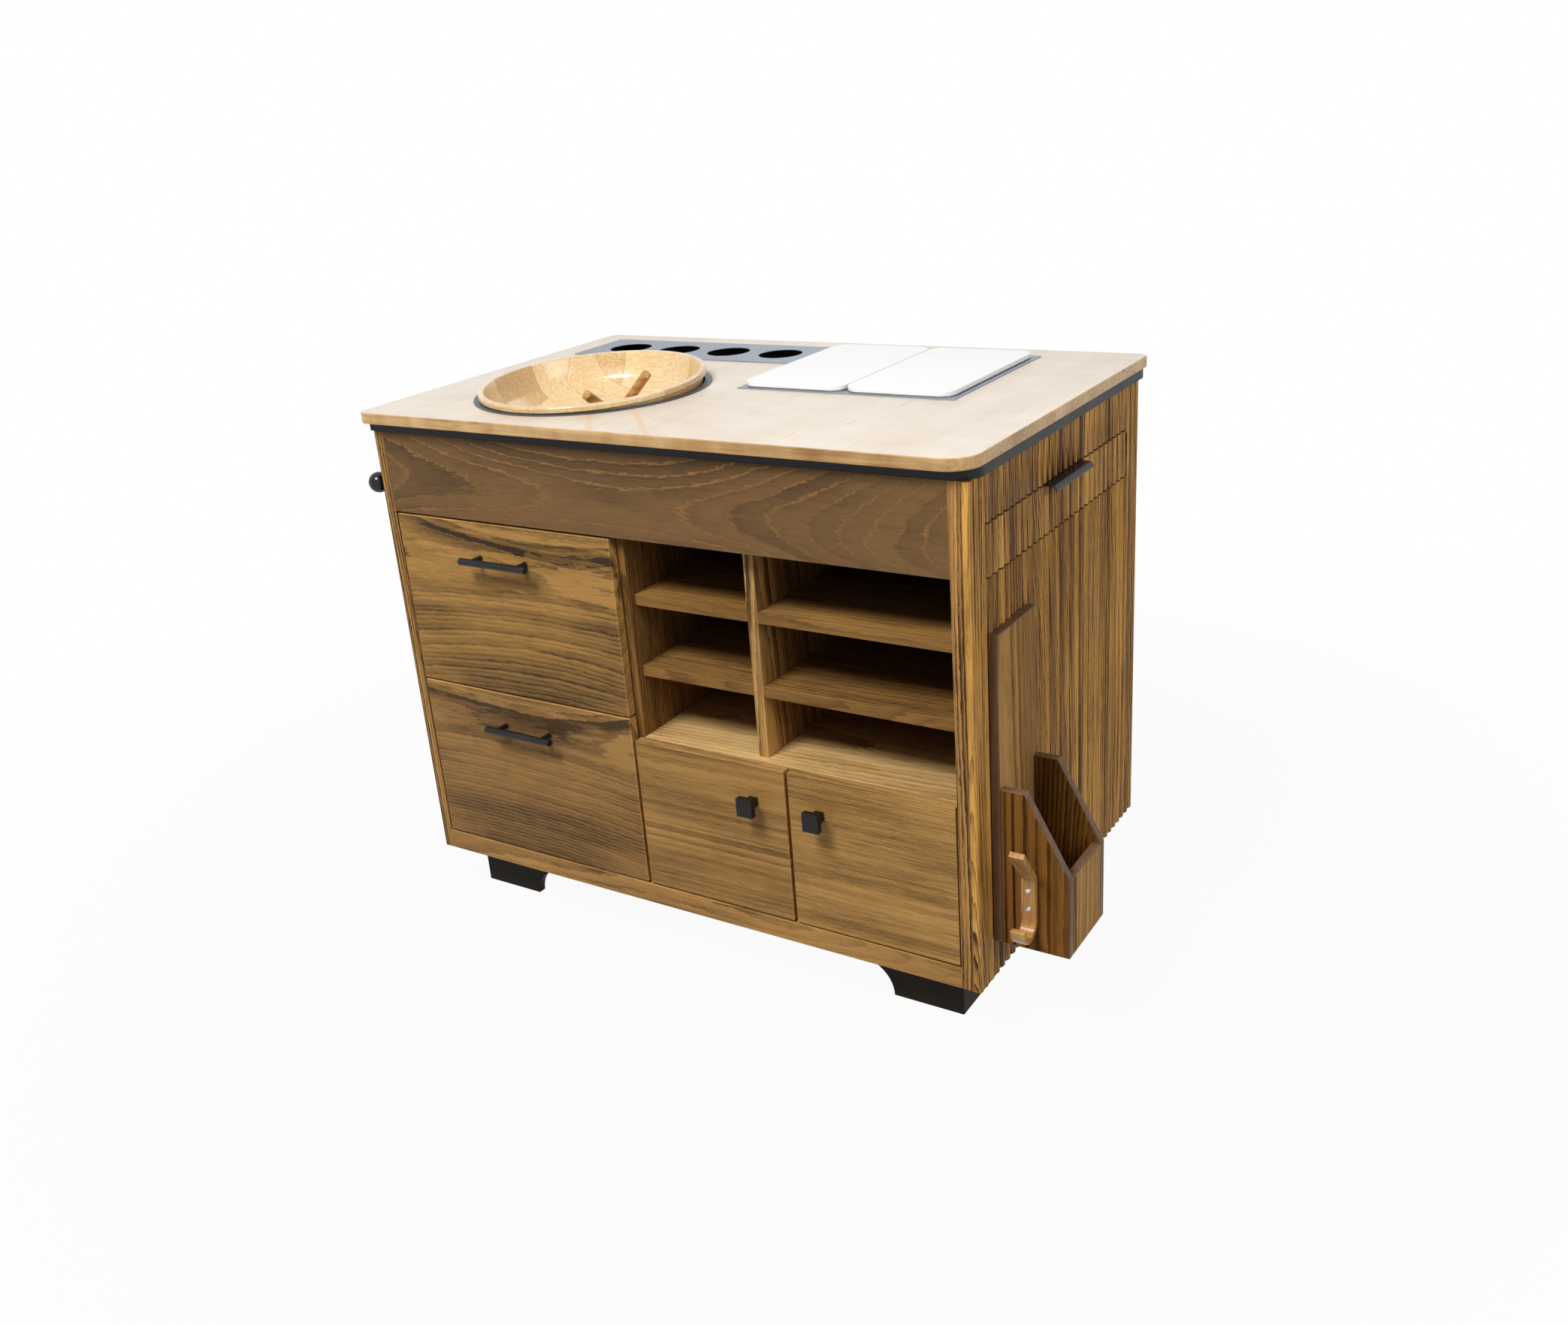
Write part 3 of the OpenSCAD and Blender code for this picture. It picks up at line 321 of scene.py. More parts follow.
@dataclass(frozen=True)
class StainedWood:
    """Stained and varnished wood with growth rings, patches and pores.

    Attributes:
        light: Colour of the early wood.
        dark: Colour of the late wood.
        edge_tone: Colour of the rounded edges, the narrow sides and the pale ring contours: sanded
            wear, with painted light on the narrow sides.
        ring: Distance from ring to ring.
        figure: How strongly the rings show.
        taper: Rings met along a metre of grain.
        bow: Rings lost along a squared metre of grain, which closes them into islands.
        swirl: How far the rings wander, in rings.
        pores: How strongly the pores show.
        patches: How strongly the stain varies.
        streaks: How strongly the fine streaks show.
        islands: Distance from the heart within which the rings make bold islands.
        isles: How strongly ragged pale isles stand out near the heart.
        contours: How strongly a thin pale line follows each ring.
        front: Y of a front edge behind which painted shade darkens the wood towards the back of a
            recess, if it does.
        fade: Distance over which the painted shade deepens.
        gloom: How dark the painted shade gets.
        rough: Roughness of the varnish.
        coat: Weight of the glossy coat.
        shine: Level of the plain reflection.
        first: Number of the heart's ring, high enough that no ring is below 0.
    """

    light: Colour = screen(204, 154, 88)
    dark: Colour = screen(102, 72, 40)
    edge_tone: Colour = screen(214, 164, 98)
    ring: float = 0.0075
    figure: float = 0.9
    taper: float = 7.0
    bow: float = 0.0
    swirl: float = 1.7
    pores: float = 0.5
    patches: float = 0.5
    streaks: float = 0.6
    islands: float = 0.07
    isles: float = 0.0
    contours: float = 0.0
    front: Optional[float] = None
    fade: float = 0.25
    gloom: float = 0.6
    rough: float = 0.46
    coat: float = 0.03
    shine: float = 0.15
    first: float = 40.0

    def dress(
        self, name: str, grain: Grain, pith: Point, edge_tone: bool = False,
        reeds: Optional[Reeds] = None,
    ) -> Material:
        """Makes the wood for one board.

        Args:
            name: The material's name.
            grain: The way its grain runs.
            pith: A point on the heart of the tree that it was cut from.
            edge_tone: True for its rounded edges and narrow sides, which are paler from sanded wear
                and from painted light.
            reeds: Where reeds lie, if it has them.

        Returns:
            The material.
        """
        graph = Graph(name)
        spot = graph.place()
        turned_pith = Euler(grain.value).to_matrix() @ Vector(pith)
        inputs = {"Vector": spot, "Rotation": grain.value, "Location": tuple(-turned_pith)}
        board = graph.add("ShaderNodeMapping", None, inputs)
        along, across, deep = graph.split(board)
        chance: Value = 0.5
        groove: Optional[Wire] = None
        if reeds is not None:
            step = (graph.split(spot)[1] - reeds.start) / reeds.pitch
            chance = graph.chance(step)
            across = across + chance * 0.35
            side = graph.math("ABSOLUTE", graph.math("FRACT", step) - 0.5) * 2.0
            groove = graph.ramp(side, [(0.66, 0.0), (0.98, 1.0)], smooth=True)
        slow = graph.noise(board, (1.1, 5.0), detail=1.0)
        wave = graph.noise(board, (3.4, 17.0))
        ragged = graph.noise(board, (42.0, 240.0), detail=3.0, rough=0.62)
        off = across + (slow - 0.5) * 0.09
        radius = graph.math("SQRT", off * off + deep * deep)
        phase = (
            radius / self.ring
            + along * self.taper
            - along * along * self.bow
            + (wave - 0.5) * self.swirl
            + (ragged - 0.5) * 0.8
            + chance * 5.0
            + self.first
        )
        part = graph.math("FRACT", phase)
        late = graph.ramp(
            part, [(0.0, 0.1), (0.1, 0.0), (0.55, 0.3), (0.86, 0.9), (0.96, 1.0), (1.0, 0.1)]
        )
        outline = graph.ramp(part, [(0.0, 0.6), (0.04, 0.0), (0.92, 0.0), (0.97, 1.0), (1.0, 0.6)])
        year = graph.chance(phase)
        aside = deep + (slow - 0.5) * 0.05 if self.isles else off
        apart = graph.math("ABSOLUTE", aside) / self.islands
        bold = graph.ramp(apart, [(0.3, 1.0), (1.0, 0.0)], smooth=True)
        isle: Value = 0.5
        if self.isles:
            blot = graph.noise(board, (6.0, 40.0))
            blot = blot + (ragged - 0.5) * 0.2
            isle = graph.ramp(blot, [(0.46, 0.0), (0.52, 1.0)], smooth=True)
        patch = graph.noise(board, (2.6, 13.0), detail=3.0)
        patchy = graph.ramp(patch, [(0.36, 0.0), (0.64, 1.0)], smooth=True)
        streak = graph.noise(board, (7.0, 150.0), detail=3.0, rough=0.6)
        fibre = graph.noise(board, (34.0, 620.0), rough=0.6)
        depth = (
            late * (patchy * 0.5 + 0.5) * (1.0 - bold * 0.5) * (self.figure * 0.62)
            + (year - 0.5) * (bold * 1.1 + 0.3) * self.figure
            + outline * bold * 0.35
            + (patchy - 0.5) * (self.patches * 0.55)
            + (streak - 0.5) * self.streaks
            + bold * (isle - 0.5) * self.isles
            + bold * 0.05
            + (fibre - 0.5) * 0.6
            + chance * 0.6
        )
        # Rounded edges and narrow sides are paler: sanded wear, and painted light on the narrow
        # sides.
        light = self.edge_tone if edge_tone else self.light
        stain = graph.math("MULTIPLY", depth, 0.72 if edge_tone else 1.0, clamp=True)
        colour = graph.mix(stain, light, self.dark)
        if self.contours:
            line = graph.ramp(part, [(0.80, 0.0), (0.90, 1.0), (0.96, 1.0), (1.0, 0.0)])
            colour = graph.mix(line * (patchy * 0.6 + 0.4) * self.contours, colour, self.edge_tone)
        fine = graph.noise(board, (20.0, 640.0), detail=1.0)
        pore = graph.ramp(fine, [(0.57, 0.0), (0.70, 1.0)])
        darkest = shade(self.dark, 0.35)
        colour = graph.mix(pore * (self.pores * 0.55), colour, darkest)
        # Painted shade: the wood darkens behind the front edge, towards the back of a recess.
        if self.front is not None:
            back = (graph.split(spot)[1] - self.front) / self.fade
            behind = graph.ramp(back, [(0.05, 0.0), (1.0, 1.0)])
            colour = graph.mix(behind * self.gloom, colour, darkest)
        if groove is not None and reeds is not None:
            colour = graph.mix(groove * 0.85, colour, reeds.groove)
        height = 1.0 - pore * 0.8 - late * 0.2
        looks = {
            "Base Color": colour,
            "Roughness": self.rough + pore * 0.12 + (streak - 0.5) * 0.12,
            "Normal": graph.bump(height, 0.35, 0.00012),
            "Coat Weight": self.coat,
            "Coat Roughness": 0.28,
            "Specular IOR Level": self.shine,
        }
        return graph.finish(looks)


@dataclass(frozen=True)
class ReflectionStreak:
    """A soft honey-coloured painted reflection that runs to the front edge.

    Attributes:
        x: Its place along the front, at the front edge.
        front: Y of the front edge.
        lean: How far it moves along the front per metre to the back.
        reach: Its length.
        width: Half its width.
        tone: Its colour.
    """

    x: float
    front: float
    lean: float
    reach: float = 0.16
    width: float = 0.011
    tone: Colour = screen(226, 182, 120)


@dataclass(frozen=True)
class PaleVeneer:
    """Pale lacquered hardwood with a soft figure.

    Attributes:
        base: The main colour.
        shade: Colour of its streaks.
        rough: Roughness of the lacquer.
        contrast: How strongly the streaks show.
        reflection_streaks: Honey-coloured painted reflections on it.
    """

    base: Colour = screen(231, 217, 199)
    shade: Colour = screen(208, 186, 160)
    rough: float = 0.34
    contrast: float = 1.0
    reflection_streaks: tuple[ReflectionStreak, ...] = ()

    def dress(self, name: str, grain: Grain = Grain.ALONG) -> Material:
        """Makes the veneer.

        Args:
            name: The material's name.
            grain: The way its grain runs.

        Returns:
            The material.
        """
        graph = Graph(name)
        inputs = {"Vector": graph.place(), "Rotation": grain.value}
        board = graph.add("ShaderNodeMapping", None, inputs)
        broad = graph.noise(board, (1.6, 8.0), detail=3.0)
        flame = graph.noise(board, (26.0, 11.0))
        streak = graph.noise(board, (6.0, 210.0), detail=3.0, rough=0.6)
        knots = graph.noise(board, (9.0, 60.0), detail=1.0)
        knots = graph.ramp(knots, [(0.66, 0.0), (0.78, 1.0)], smooth=True)
        depth = (
            (broad - 0.5) * 1.5 + (flame - 0.5) * 0.8 + (streak - 0.5) * 0.9 + knots * 0.5 + 0.32
        )
        depth = graph.math("MULTIPLY", depth, self.contrast, clamp=True)
        colour = graph.mix(depth, self.base, self.shade)
        x, y, _ = graph.split(graph.place())
        # Painted reflections: honey-coloured streaks that are strongest at the front edge and fade
        # towards the back.
        for reflection_streak in self.reflection_streaks:
            back = y - reflection_streak.front
            off = graph.math("ABSOLUTE", x - reflection_streak.x - back * reflection_streak.lean) / reflection_streak.width
            beside = graph.ramp(off + (flame - 0.5) * 0.9, [(0.1, 1.0), (1.0, 0.0)], smooth=True)
            behind = graph.ramp(back / reflection_streak.reach, [(0.5, 1.0), (1.0, 0.0)], smooth=True)
            colour = graph.mix(beside * behind * 0.6, colour, reflection_streak.tone)
        looks = {
            "Base Color": colour,
            "Roughness": self.rough + (streak - 0.5) * 0.14,
            "Normal": graph.bump(streak, 0.12, 0.00006),
            "Coat Weight": 0.15,
            "Coat Roughness": 0.2,
        }
        return graph.finish(looks)


@dataclass(frozen=True)
class GluedBlocks:
    """Blocks of honey-coloured hardwood glued edge to edge, oiled and polished.

    Attributes:
        light: Colour of the palest blocks.
        dark: Colour of the darkest blocks.
        width: Width of a block.
        length: Length of a block.
        middle: The middle of the turned piece.
        first: Number of the middle block, high enough that no block is below 0.
    """

    light: Colour = screen(244, 216, 164)
    dark: Colour = screen(190, 142, 78)
    width: float = 0.048
    length: float = 0.15
    middle: Point = (0.0, 0.0, 0.0)
    first: float = 30.0

    def dress(self, name: str) -> Material:
        """Makes the glued wood.

        Args:
            name: The material's name.

        Returns:
            The material.
        """
        graph = Graph(name)
        inputs = {"Vector": graph.place(), "Location": tuple(-c for c in self.middle)}
        spot = graph.add("ShaderNodeMapping", None, inputs)
        x, y, _ = graph.split(spot)
        row = graph.math("FLOOR", y / self.width + self.first)
        place = x / self.length + graph.chance(row) * 3.0 + self.first
        block = graph.add("ShaderNodeCombineXYZ", None, {0: row, 1: graph.math("FLOOR", place)})
        tone = graph.add("ShaderNodeTexWhiteNoise", {"noise_dimensions": "3D"}, {"Vector": block})
        shift = Wire(graph, tone.socket.node.outputs["Color"])
        inputs = {0: shift, 1: (3.0, 3.0, 3.0), 2: spot}
        moved = graph.add("ShaderNodeVectorMath", {"operation": "MULTIPLY_ADD"}, inputs)
        wave = graph.noise(moved, (9.0, 46.0), detail=3.0)
        lines = graph.math("FRACT", wave * 9.0)
        streak = graph.noise(moved, (14.0, 420.0))
        depth = (tone - 0.5) * 0.55 + lines * 0.32 + (streak - 0.5) * 0.7 + 0.3
        colour = graph.mix(graph.math("MULTIPLY", depth, 1.0, clamp=True), self.light, self.dark)
        seam_row = graph.math("ABSOLUTE", graph.math("FRACT", y / self.width) - 0.5)
        seam_end = graph.math("ABSOLUTE", graph.math("FRACT", place) - 0.5)
        seam = graph.math(
            "MAXIMUM",
            graph.ramp(seam_row, [(0.485, 0.0), (0.498, 1.0)]),
            graph.ramp(seam_end, [(0.494, 0.0), (0.499, 1.0)]),
        )
        colour = graph.mix(seam * 0.4, colour, shade(self.dark, 0.4))
        looks = {
            "Base Color": colour,
            "Roughness": 0.30 + (streak - 0.5) * 0.16,
            "Normal": graph.bump(streak, 0.10, 0.00005),
            "Coat Weight": 0.7,
            "Coat Roughness": 0.09,
        }
        return graph.finish(looks)


@dataclass(frozen=True)
class SatinPaint:
    """Black or dark paint or powder coat with a fine texture.

    Attributes:
        colour: Its colour.
        rough: Its roughness.
        texture: Height of its texture, in metres.
        metallic: How metallic it is.
        shine: Level of the plain reflection.
    """

    colour: Colour = screen(30, 29, 29)
    rough: float = 0.42
    texture: float = 0.00003
    metallic: float = 0.0
    shine: float = 0.35

    def dress(self, name: str) -> Material:
        """Makes the paint.

        Args:
            name: The material's name.

        Returns:
            The material.
        """
        graph = Graph(name)
        spot = graph.place()
        fine = graph.noise(spot, scale=900.0)
        broad = graph.noise(spot, scale=14.0, detail=3.0)
        rubbed = graph.ramp(graph.noise(spot, scale=70.0, detail=4.0), [(0.62, 0.0), (0.74, 1.0)])
        share = (broad - 0.35) * 1.2 + rubbed * 0.25
        tone = graph.mix(share, shade(self.colour, 0.75), shade(self.colour, 1.7, 0.004))
        looks = {
            "Base Color": tone,
            "Metallic": self.metallic,
            "Specular IOR Level": self.shine,
            "Roughness": self.rough + (broad - 0.5) * 0.2 + (fine - 0.5) * 0.1,
            "Normal": graph.bump(fine, 0.3, self.texture),
        }
        return graph.finish(looks)


@dataclass(frozen=True)
class BrushedMetal:
    """Bare or plated sheet metal with brush marks.

    Attributes:
        colour: Its colour.
        rough: Its roughness.
        brush: Brush marks per metre along and across.
        metallic: How metallic it is.
    """

    colour: Colour = screen(150, 152, 156)
    rough: float = 0.34
    brush: tuple[float, float] = (8.0, 900.0)
    metallic: float = 1.0

    def dress(self, name: str) -> Material:
        """Makes the metal.

        Args:
            name: The material's name.

        Returns:
            The material.
        """
        graph = Graph(name)
        spot = graph.place()
        marks = graph.noise(spot, self.brush)
        cloud = graph.noise(spot, scale=22.0, detail=3.0)
        share = (cloud - 0.5) * 0.9 + (marks - 0.5) * 0.8 + 0.5
        tone = graph.mix(share, shade(self.colour, 0.8), shade(self.colour, 1.2))
        looks = {
            "Base Color": tone,
            "Metallic": self.metallic,
            "Roughness": self.rough + (marks - 0.5) * 0.2 + (cloud - 0.5) * 0.12,
            "Normal": graph.bump(marks, 0.12, 0.00003),
        }
        return graph.finish(looks)


@dataclass(frozen=True)
class MouldedPlastic:
    """Smooth moulded plastic with faint handling marks.

    Attributes:
        colour: Its colour.
        rough: Its roughness.
        coat: Weight of the glossy skin.
    """

    colour: Colour = screen(248, 248, 247)
    rough: float = 0.3
    coat: float = 0.25

    def dress(self, name: str) -> Material:
        """Makes the plastic.

        Args:
            name: The material's name.

        Returns:
            The material.
        """
        graph = Graph(name)
        spot = graph.place()
        cloud = graph.noise(spot, scale=9.0, detail=3.0)
        scuff = graph.noise(spot, (40.0, 260.0), detail=3.0, rough=0.6)
        share = (cloud - 0.5) + (scuff - 0.5) * 0.25 + 0.5
        pale = shade(self.colour, 1.02, limit=0.95)
        tone = graph.mix(share, shade(self.colour, 0.96), pale)
        looks = {
            "Base Color": tone,
            "Roughness": self.rough + (scuff - 0.5) * 0.08,
            "Normal": graph.bump(cloud, 0.1, 0.0001),
            "Coat Weight": self.coat,
            "Coat Roughness": 0.15,
        }
        return graph.finish(looks)


# ---- the workbench


class Workbench:
    """Makes pieces from CAD nodes and from new meshes, and puts them on their bodies."""

    def __init__(self, packed: Mapping[str, Any]) -> None:
        """Reads which body and which material slot each node has.
        """
        self.nodes: Mapping[str, bpy.types.Object] = packed["nodes"]
        record = packed["record"]
        bodies = record["behaviour"]["bodies"]
        self.body_of = {node: body for body, members in bodies.items() for node in members}
        self.slot_of = {part["node"]: part["material_slot"] for part in record["subparts"]}

    def solid(self, node: str) -> bmesh.types.BMesh:
        """Gives a merged copy of a CAD node's mesh.

        Args:
            node: The node's name.

        Returns:
            The copy.
        """
        mesh = bmesh.new()
        mesh.from_mesh(self.nodes[node].data)
        bmesh.ops.remove_doubles(mesh, verts=mesh.verts, dist=MERGE)
        bmesh.ops.dissolve_limit(
            mesh, angle_limit=math.radians(FLAT), verts=mesh.verts, edges=mesh.edges
        )
        mesh.normal_update()
        return mesh

    @staticmethod
    def ease(
        mesh: bmesh.types.BMesh, width: float, segments: int, angle: float, index: int
    ) -> None:
        """Rounds the sharp edges of a mesh.

        Args:
            mesh: The mesh.
            width: Width of the rounding.
            segments: Its number of faces.
            angle: Edges sharper than this, in degrees, are rounded.
            index: Material index of the rounding.
        """
        limit = math.radians(angle)
        edges = [
            edge
            for edge in mesh.edges
            if len(edge.link_faces) == 2 and edge.calc_face_angle(0.0) > limit
        ]
        if not edges:
            return
        made = bmesh.ops.bevel(
            mesh, geom=edges, offset=width, offset_type="OFFSET", affect="EDGES",
            segments=segments, profile=0.5, material=-1, clamp_overlap=True,
        )
        for face in made["faces"]:
            face.material_index = index

    def piece(
        self, name: str, mesh: bmesh.types.BMesh, finishes: Sequence[Material], body: str,
        slot: str, stands_for: Sequence[str] = (), crease: float = 40.0,
    ) -> None:
        """Turns a mesh into a piece on its body.

        Args:
            name: The piece's name.
            mesh: Its mesh, which is used up.
            finishes: Its materials.
            body: The body that it rides on.
            slot: The record's material slot; not used.
            stands_for: CAD nodes that it replaces.
            crease: Edges sharper than this, in degrees, stay sharp.
        """
        data = bpy.data.meshes.new(name)
        mesh.to_mesh(data)
        mesh.free()
        for finish in finishes:
            data.materials.append(finish)
        data.shade_smooth()
        data.set_sharp_from_angle(angle=math.radians(crease))
        made = put(name, data)
        modifier = made.modifiers.new("even_shading", "WEIGHTED_NORMAL")
        modifier.keep_sharp = True
        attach(made, body)
        if stands_for:
            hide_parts(*stands_for)
        LOG.info("%s: %d faces on %s", name, len(data.polygons), body)

    def rework(
        self, node: str, finishes: Sequence[Material], edge: float = 0.0, segments: int = 2,
        angle: float = 35.0, edge_tone: int = 0, sort: Optional[Sorter] = None, crease: float = 40.0,
    ) -> None:
        """Replaces a CAD node by a copy with eased edges.

        Args:
            node: The node's name.
            finishes: The copy's materials.
            edge: Width of the rounding on its sharp edges.
            segments: Number of faces of the rounding.
            angle: Edges sharper than this, in degrees, are rounded.
            edge_tone: Material index of the rounding.
            sort: Gives a face's material index before the rounding.
            crease: Edges sharper than this, in degrees, stay sharp in the shading.
        """
        mesh = self.solid(node)
        if sort is not None:
            for face in mesh.faces:
                face.material_index = sort(face)
        if edge > 0:
            self.ease(mesh, edge, segments, angle, edge_tone)
        body, slot = self.body_of[node], self.slot_of[node]
        self.piece(f"{node}_piece", mesh, finishes, body, slot, stands_for=[node], crease=crease)


def put(name: str, data: Any) -> bpy.types.Object:
    """Puts a new object into the scene.

    Args:
        name: Its name.
        data: Its mesh, lamp or camera.

    Returns:
        The object.
    """
    made = bpy.data.objects.new(name, data)
    bpy.context.scene.collection.objects.link(made)
    return made


def middle_of(node: str) -> Vector:
    """Gives the middle of a CAD node's box."""
    low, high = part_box(node)
    return (low + high) / 2


def near(node: str, step: Point) -> Point:
    """Gives the point that lies a step away from a CAD node's middle."""
    return tuple(middle_of(node) + Vector(step))


def looking(axis: Optional[int], index: int = 0) -> Sorter:
    """Gives a sorter of faces by the axis that they look along.

    Args:
        axis: The axis, or None for all faces.
        index: Material index, 0 or 1, of the faces that look along it.

    Returns:
        The sorter.
    """

    def sort(face: Face) -> int:
        """Sorts one face."""
        return index if axis is None or abs(face.normal[axis]) > FACING else 1 - index

    return sort


# ---- sub-assemblies


@dataclass
class Assembly:
    """A group of pieces.

    Attributes:
        bench: The workbench that makes them.
        edge: Rounding of their edges, where a call doesn't say another.
    """

    bench: Workbench
    edge: float = 0.0009

    def board(
        self, node: str, wood: StainedWood, heart: Point, grain: Grain = Grain.ALONG,
        thin: Optional[int] = None,
    ) -> None:
        """Makes one board.

        Args:
            node: The board's node.
            wood: Its wood.
            heart: The tree's heart from the board's middle.
            grain: The way its grain runs.
            thin: The axis across the board, if its narrow sides get the paler edge wood of sanded
                wear and painted light.
        """
        pith = near(node, heart)
        plain = wood.dress(f"{node}_wood", grain, pith)
        # A paler copy of the wood for rounded edges and narrow sides paints sanded wear and the
        # light on the narrow sides.
        edge_tone = wood.dress(f"{node}_worn", grain, pith, edge_tone=True)
        self.bench.rework(node, [plain, edge_tone], edge=self.edge, edge_tone=1, sort=looking(thin))

    def cover(self, finish: Material, *nodes: str, **rounding: Any) -> None:
        """Reworks the nodes that have only this finish."""
        for node in nodes:
            self.bench.rework(node, [finish], **rounding)


@dataclass
class Top(Assembly):
    """The worktop and the black band under it.

    Attributes:
        reflection_streaks: Place from the left and lean of each honey-coloured painted reflection.
    """

    edge: float = 0.0016
    reflection_streaks: tuple[tuple[float, float], ...] = ((0.489, -0.756), (0.596, -0.924))

    def build(self) -> None:
        """Makes both boards."""
        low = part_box("worktop")[0]
        reflection_streaks = tuple(ReflectionStreak(low.x + x, low.y, lean) for x, lean in self.reflection_streaks)
        face = PaleVeneer(reflection_streaks=reflection_streaks).dress("worktop_veneer", Grain.DEEP)
        rim = PaleVeneer(
            base=screen(234, 196, 136), shade=screen(156, 106, 52), rough=0.42, contrast=1.25,
        ).dress("worktop_edge_band")
        skins = [face, rim]
        self.bench.rework("worktop", skins, edge=self.edge, segments=3, edge_tone=1, sort=looking(2))
        black = SatinPaint(colour=screen(27, 26, 26), rough=0.46, texture=0.00002, shine=0.25)
        self.cover(black.dress("band_paint"), "trim_band", edge=0.0008)


@dataclass
class Carcass(Assembly):
    """The cabinet's boards."""

    def build(self) -> None:
        """Makes all boards of the cabinet."""
        outer = StainedWood()
        stile = StainedWood(
            light=screen(214, 160, 90), dark=screen(72, 44, 18), ring=0.0052, figure=1.7, taper=2.0,
            swirl=0.5, patches=0.3,
        )
        rail = StainedWood(
            light=screen(132, 99, 62), dark=screen(60, 46, 31), edge_tone=screen(168, 124, 72),
            ring=0.0095, figure=0.62, taper=1.0, bow=22.0, swirl=1.3, patches=0.4, streaks=0.4,
            islands=0.14, contours=0.75, pores=0.35,
        )
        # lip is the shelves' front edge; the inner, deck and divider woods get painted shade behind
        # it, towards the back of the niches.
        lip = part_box("shelves")[0].y
        inner = StainedWood(
            light=screen(184, 137, 76), dark=screen(74, 50, 26), edge_tone=screen(164, 121, 67),
            ring=0.006, patches=0.4, streaks=0.8, islands=0.02, front=lip, gloom=0.5, rough=0.6,
            shine=0.06,
        )
        # A darker copy of the wood: painted shade on the niches' ceiling and on the back board's
        # inner face.
        deep = StainedWood(
            light=screen(110, 78, 40), dark=screen(46, 30, 14), ring=0.006, patches=0.4, rough=0.7,
            shine=0.02,
        )
        # The deck's wood is paler, and made paler still to paint the light that falls on its front
        # strip; behind that, painted shade.
        deck = StainedWood(
            light=screen(250, 210, 142), dark=screen(170, 124, 70), edge_tone=screen(250, 214, 150),
            islands=0.02, front=lip - 0.015, fade=0.24, gloom=0.75,
        )
        self.board("front_rail", rail, (-0.13, -0.11, 0.0))
        self.board("bottom_rail", outer, (0.35, -0.09, 0.03))
        self.board("left_side_board", stile, (-0.16, -0.42, 0.0), Grain.UP)
        self.board("right_side_board", stile, (0.14, -0.20, 0.0), Grain.UP)
        self.back(outer, deep)
        self.board("base_board", inner, (0.0, 0.05, -0.08))
        self.board("inner_ceiling", deep, (0.0, 0.03, -0.07))
        self.board("main_divider", inner, (0.06, -0.02, 0.0), Grain.UP)
        # The divider's wood also gets painted shade behind its front edge.
        edge = StainedWood(
            light=screen(214, 166, 98), dark=screen(92, 61, 30), edge_tone=screen(214, 166, 98),
            figure=1.2, streaks=0.9, front=lip, gloom=0.5,
        )
        self.board("middle_divider", edge, (0.05, -0.31, 0.0), Grain.UP)
        self.board("shelves", inner, (0.0, 0.02, -0.09), thin=2)
        self.board("pigeonhole_deck", deck, (0.0, -0.20, -0.05))

    def back(self, outside: StainedWood, inside: StainedWood) -> None:
        """Makes the back board, with painted shade on its inner face.

        Args:
            outside: Wood of its outer face and edges.
            inside: Darker wood of its inner face, which paints the shade in the niches.
        """

        def sort(part: Face) -> int:
            """Sorts the inner face from the rest."""
            return 1 if part.normal.y < -FACING else 0

        pith = near("back_board", (0.0, 0.10, 0.05))
        outer = outside.dress("back_outside", Grain.ALONG, pith)
        inner = inside.dress("back_inside", Grain.ALONG, pith)
        self.bench.rework("back_board", [outer, inner], edge=self.edge, sort=sort)


@dataclass
class ReededSide(Assembly):
    """The reeded cladding, the drawer front that is cut from it, and its pull."""

    def build(self) -> None:
        """Makes the cladding, the side drawer and the pull."""
        low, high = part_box("reeded_cladding")
        full = math.floor((high.y - low.y) / Reeds.pitch + SLACK)
        reeds = Reeds(start=high.y - full * Reeds.pitch)
        wood = StainedWood(
            light=screen(236, 176, 90), dark=screen(78, 47, 17), ring=0.0030, figure=1.5, taper=5.0,
            swirl=1.3, patches=0.12, streaks=0.95, pores=0.6, rough=0.46,
        )
        pith = (high.x - 0.05, low.y - 0.3, 0.4)
        drawer_pith = (pith[0], pith[1], 1.4)
        skin = wood.dress("reeded_wood", Grain.UP, pith, reeds=reeds)
        drawer_skin = wood.dress("reeded_drawer_wood", Grain.UP, drawer_pith, reeds=reeds)
        sawn = StainedWood(light=screen(150, 106, 60), dark=screen(70, 46, 24))
        cut = sawn.dress("reeded_cut", Grain.UP, pith)
        sort = looking(2, 1)
        self.bench.rework("reeded_cladding", [skin, cut], sort=sort, crease=45.0)
        self.bench.rework("side_drawer_front", [drawer_skin, cut], sort=sort, crease=45.0)
        pull = SatinPaint(colour=screen(26, 26, 27), rough=0.4, texture=0.00012, metallic=0.2)
        self.cover(pull.dress("pull_black"), "side_pull", edge=0.0004, angle=50.0)


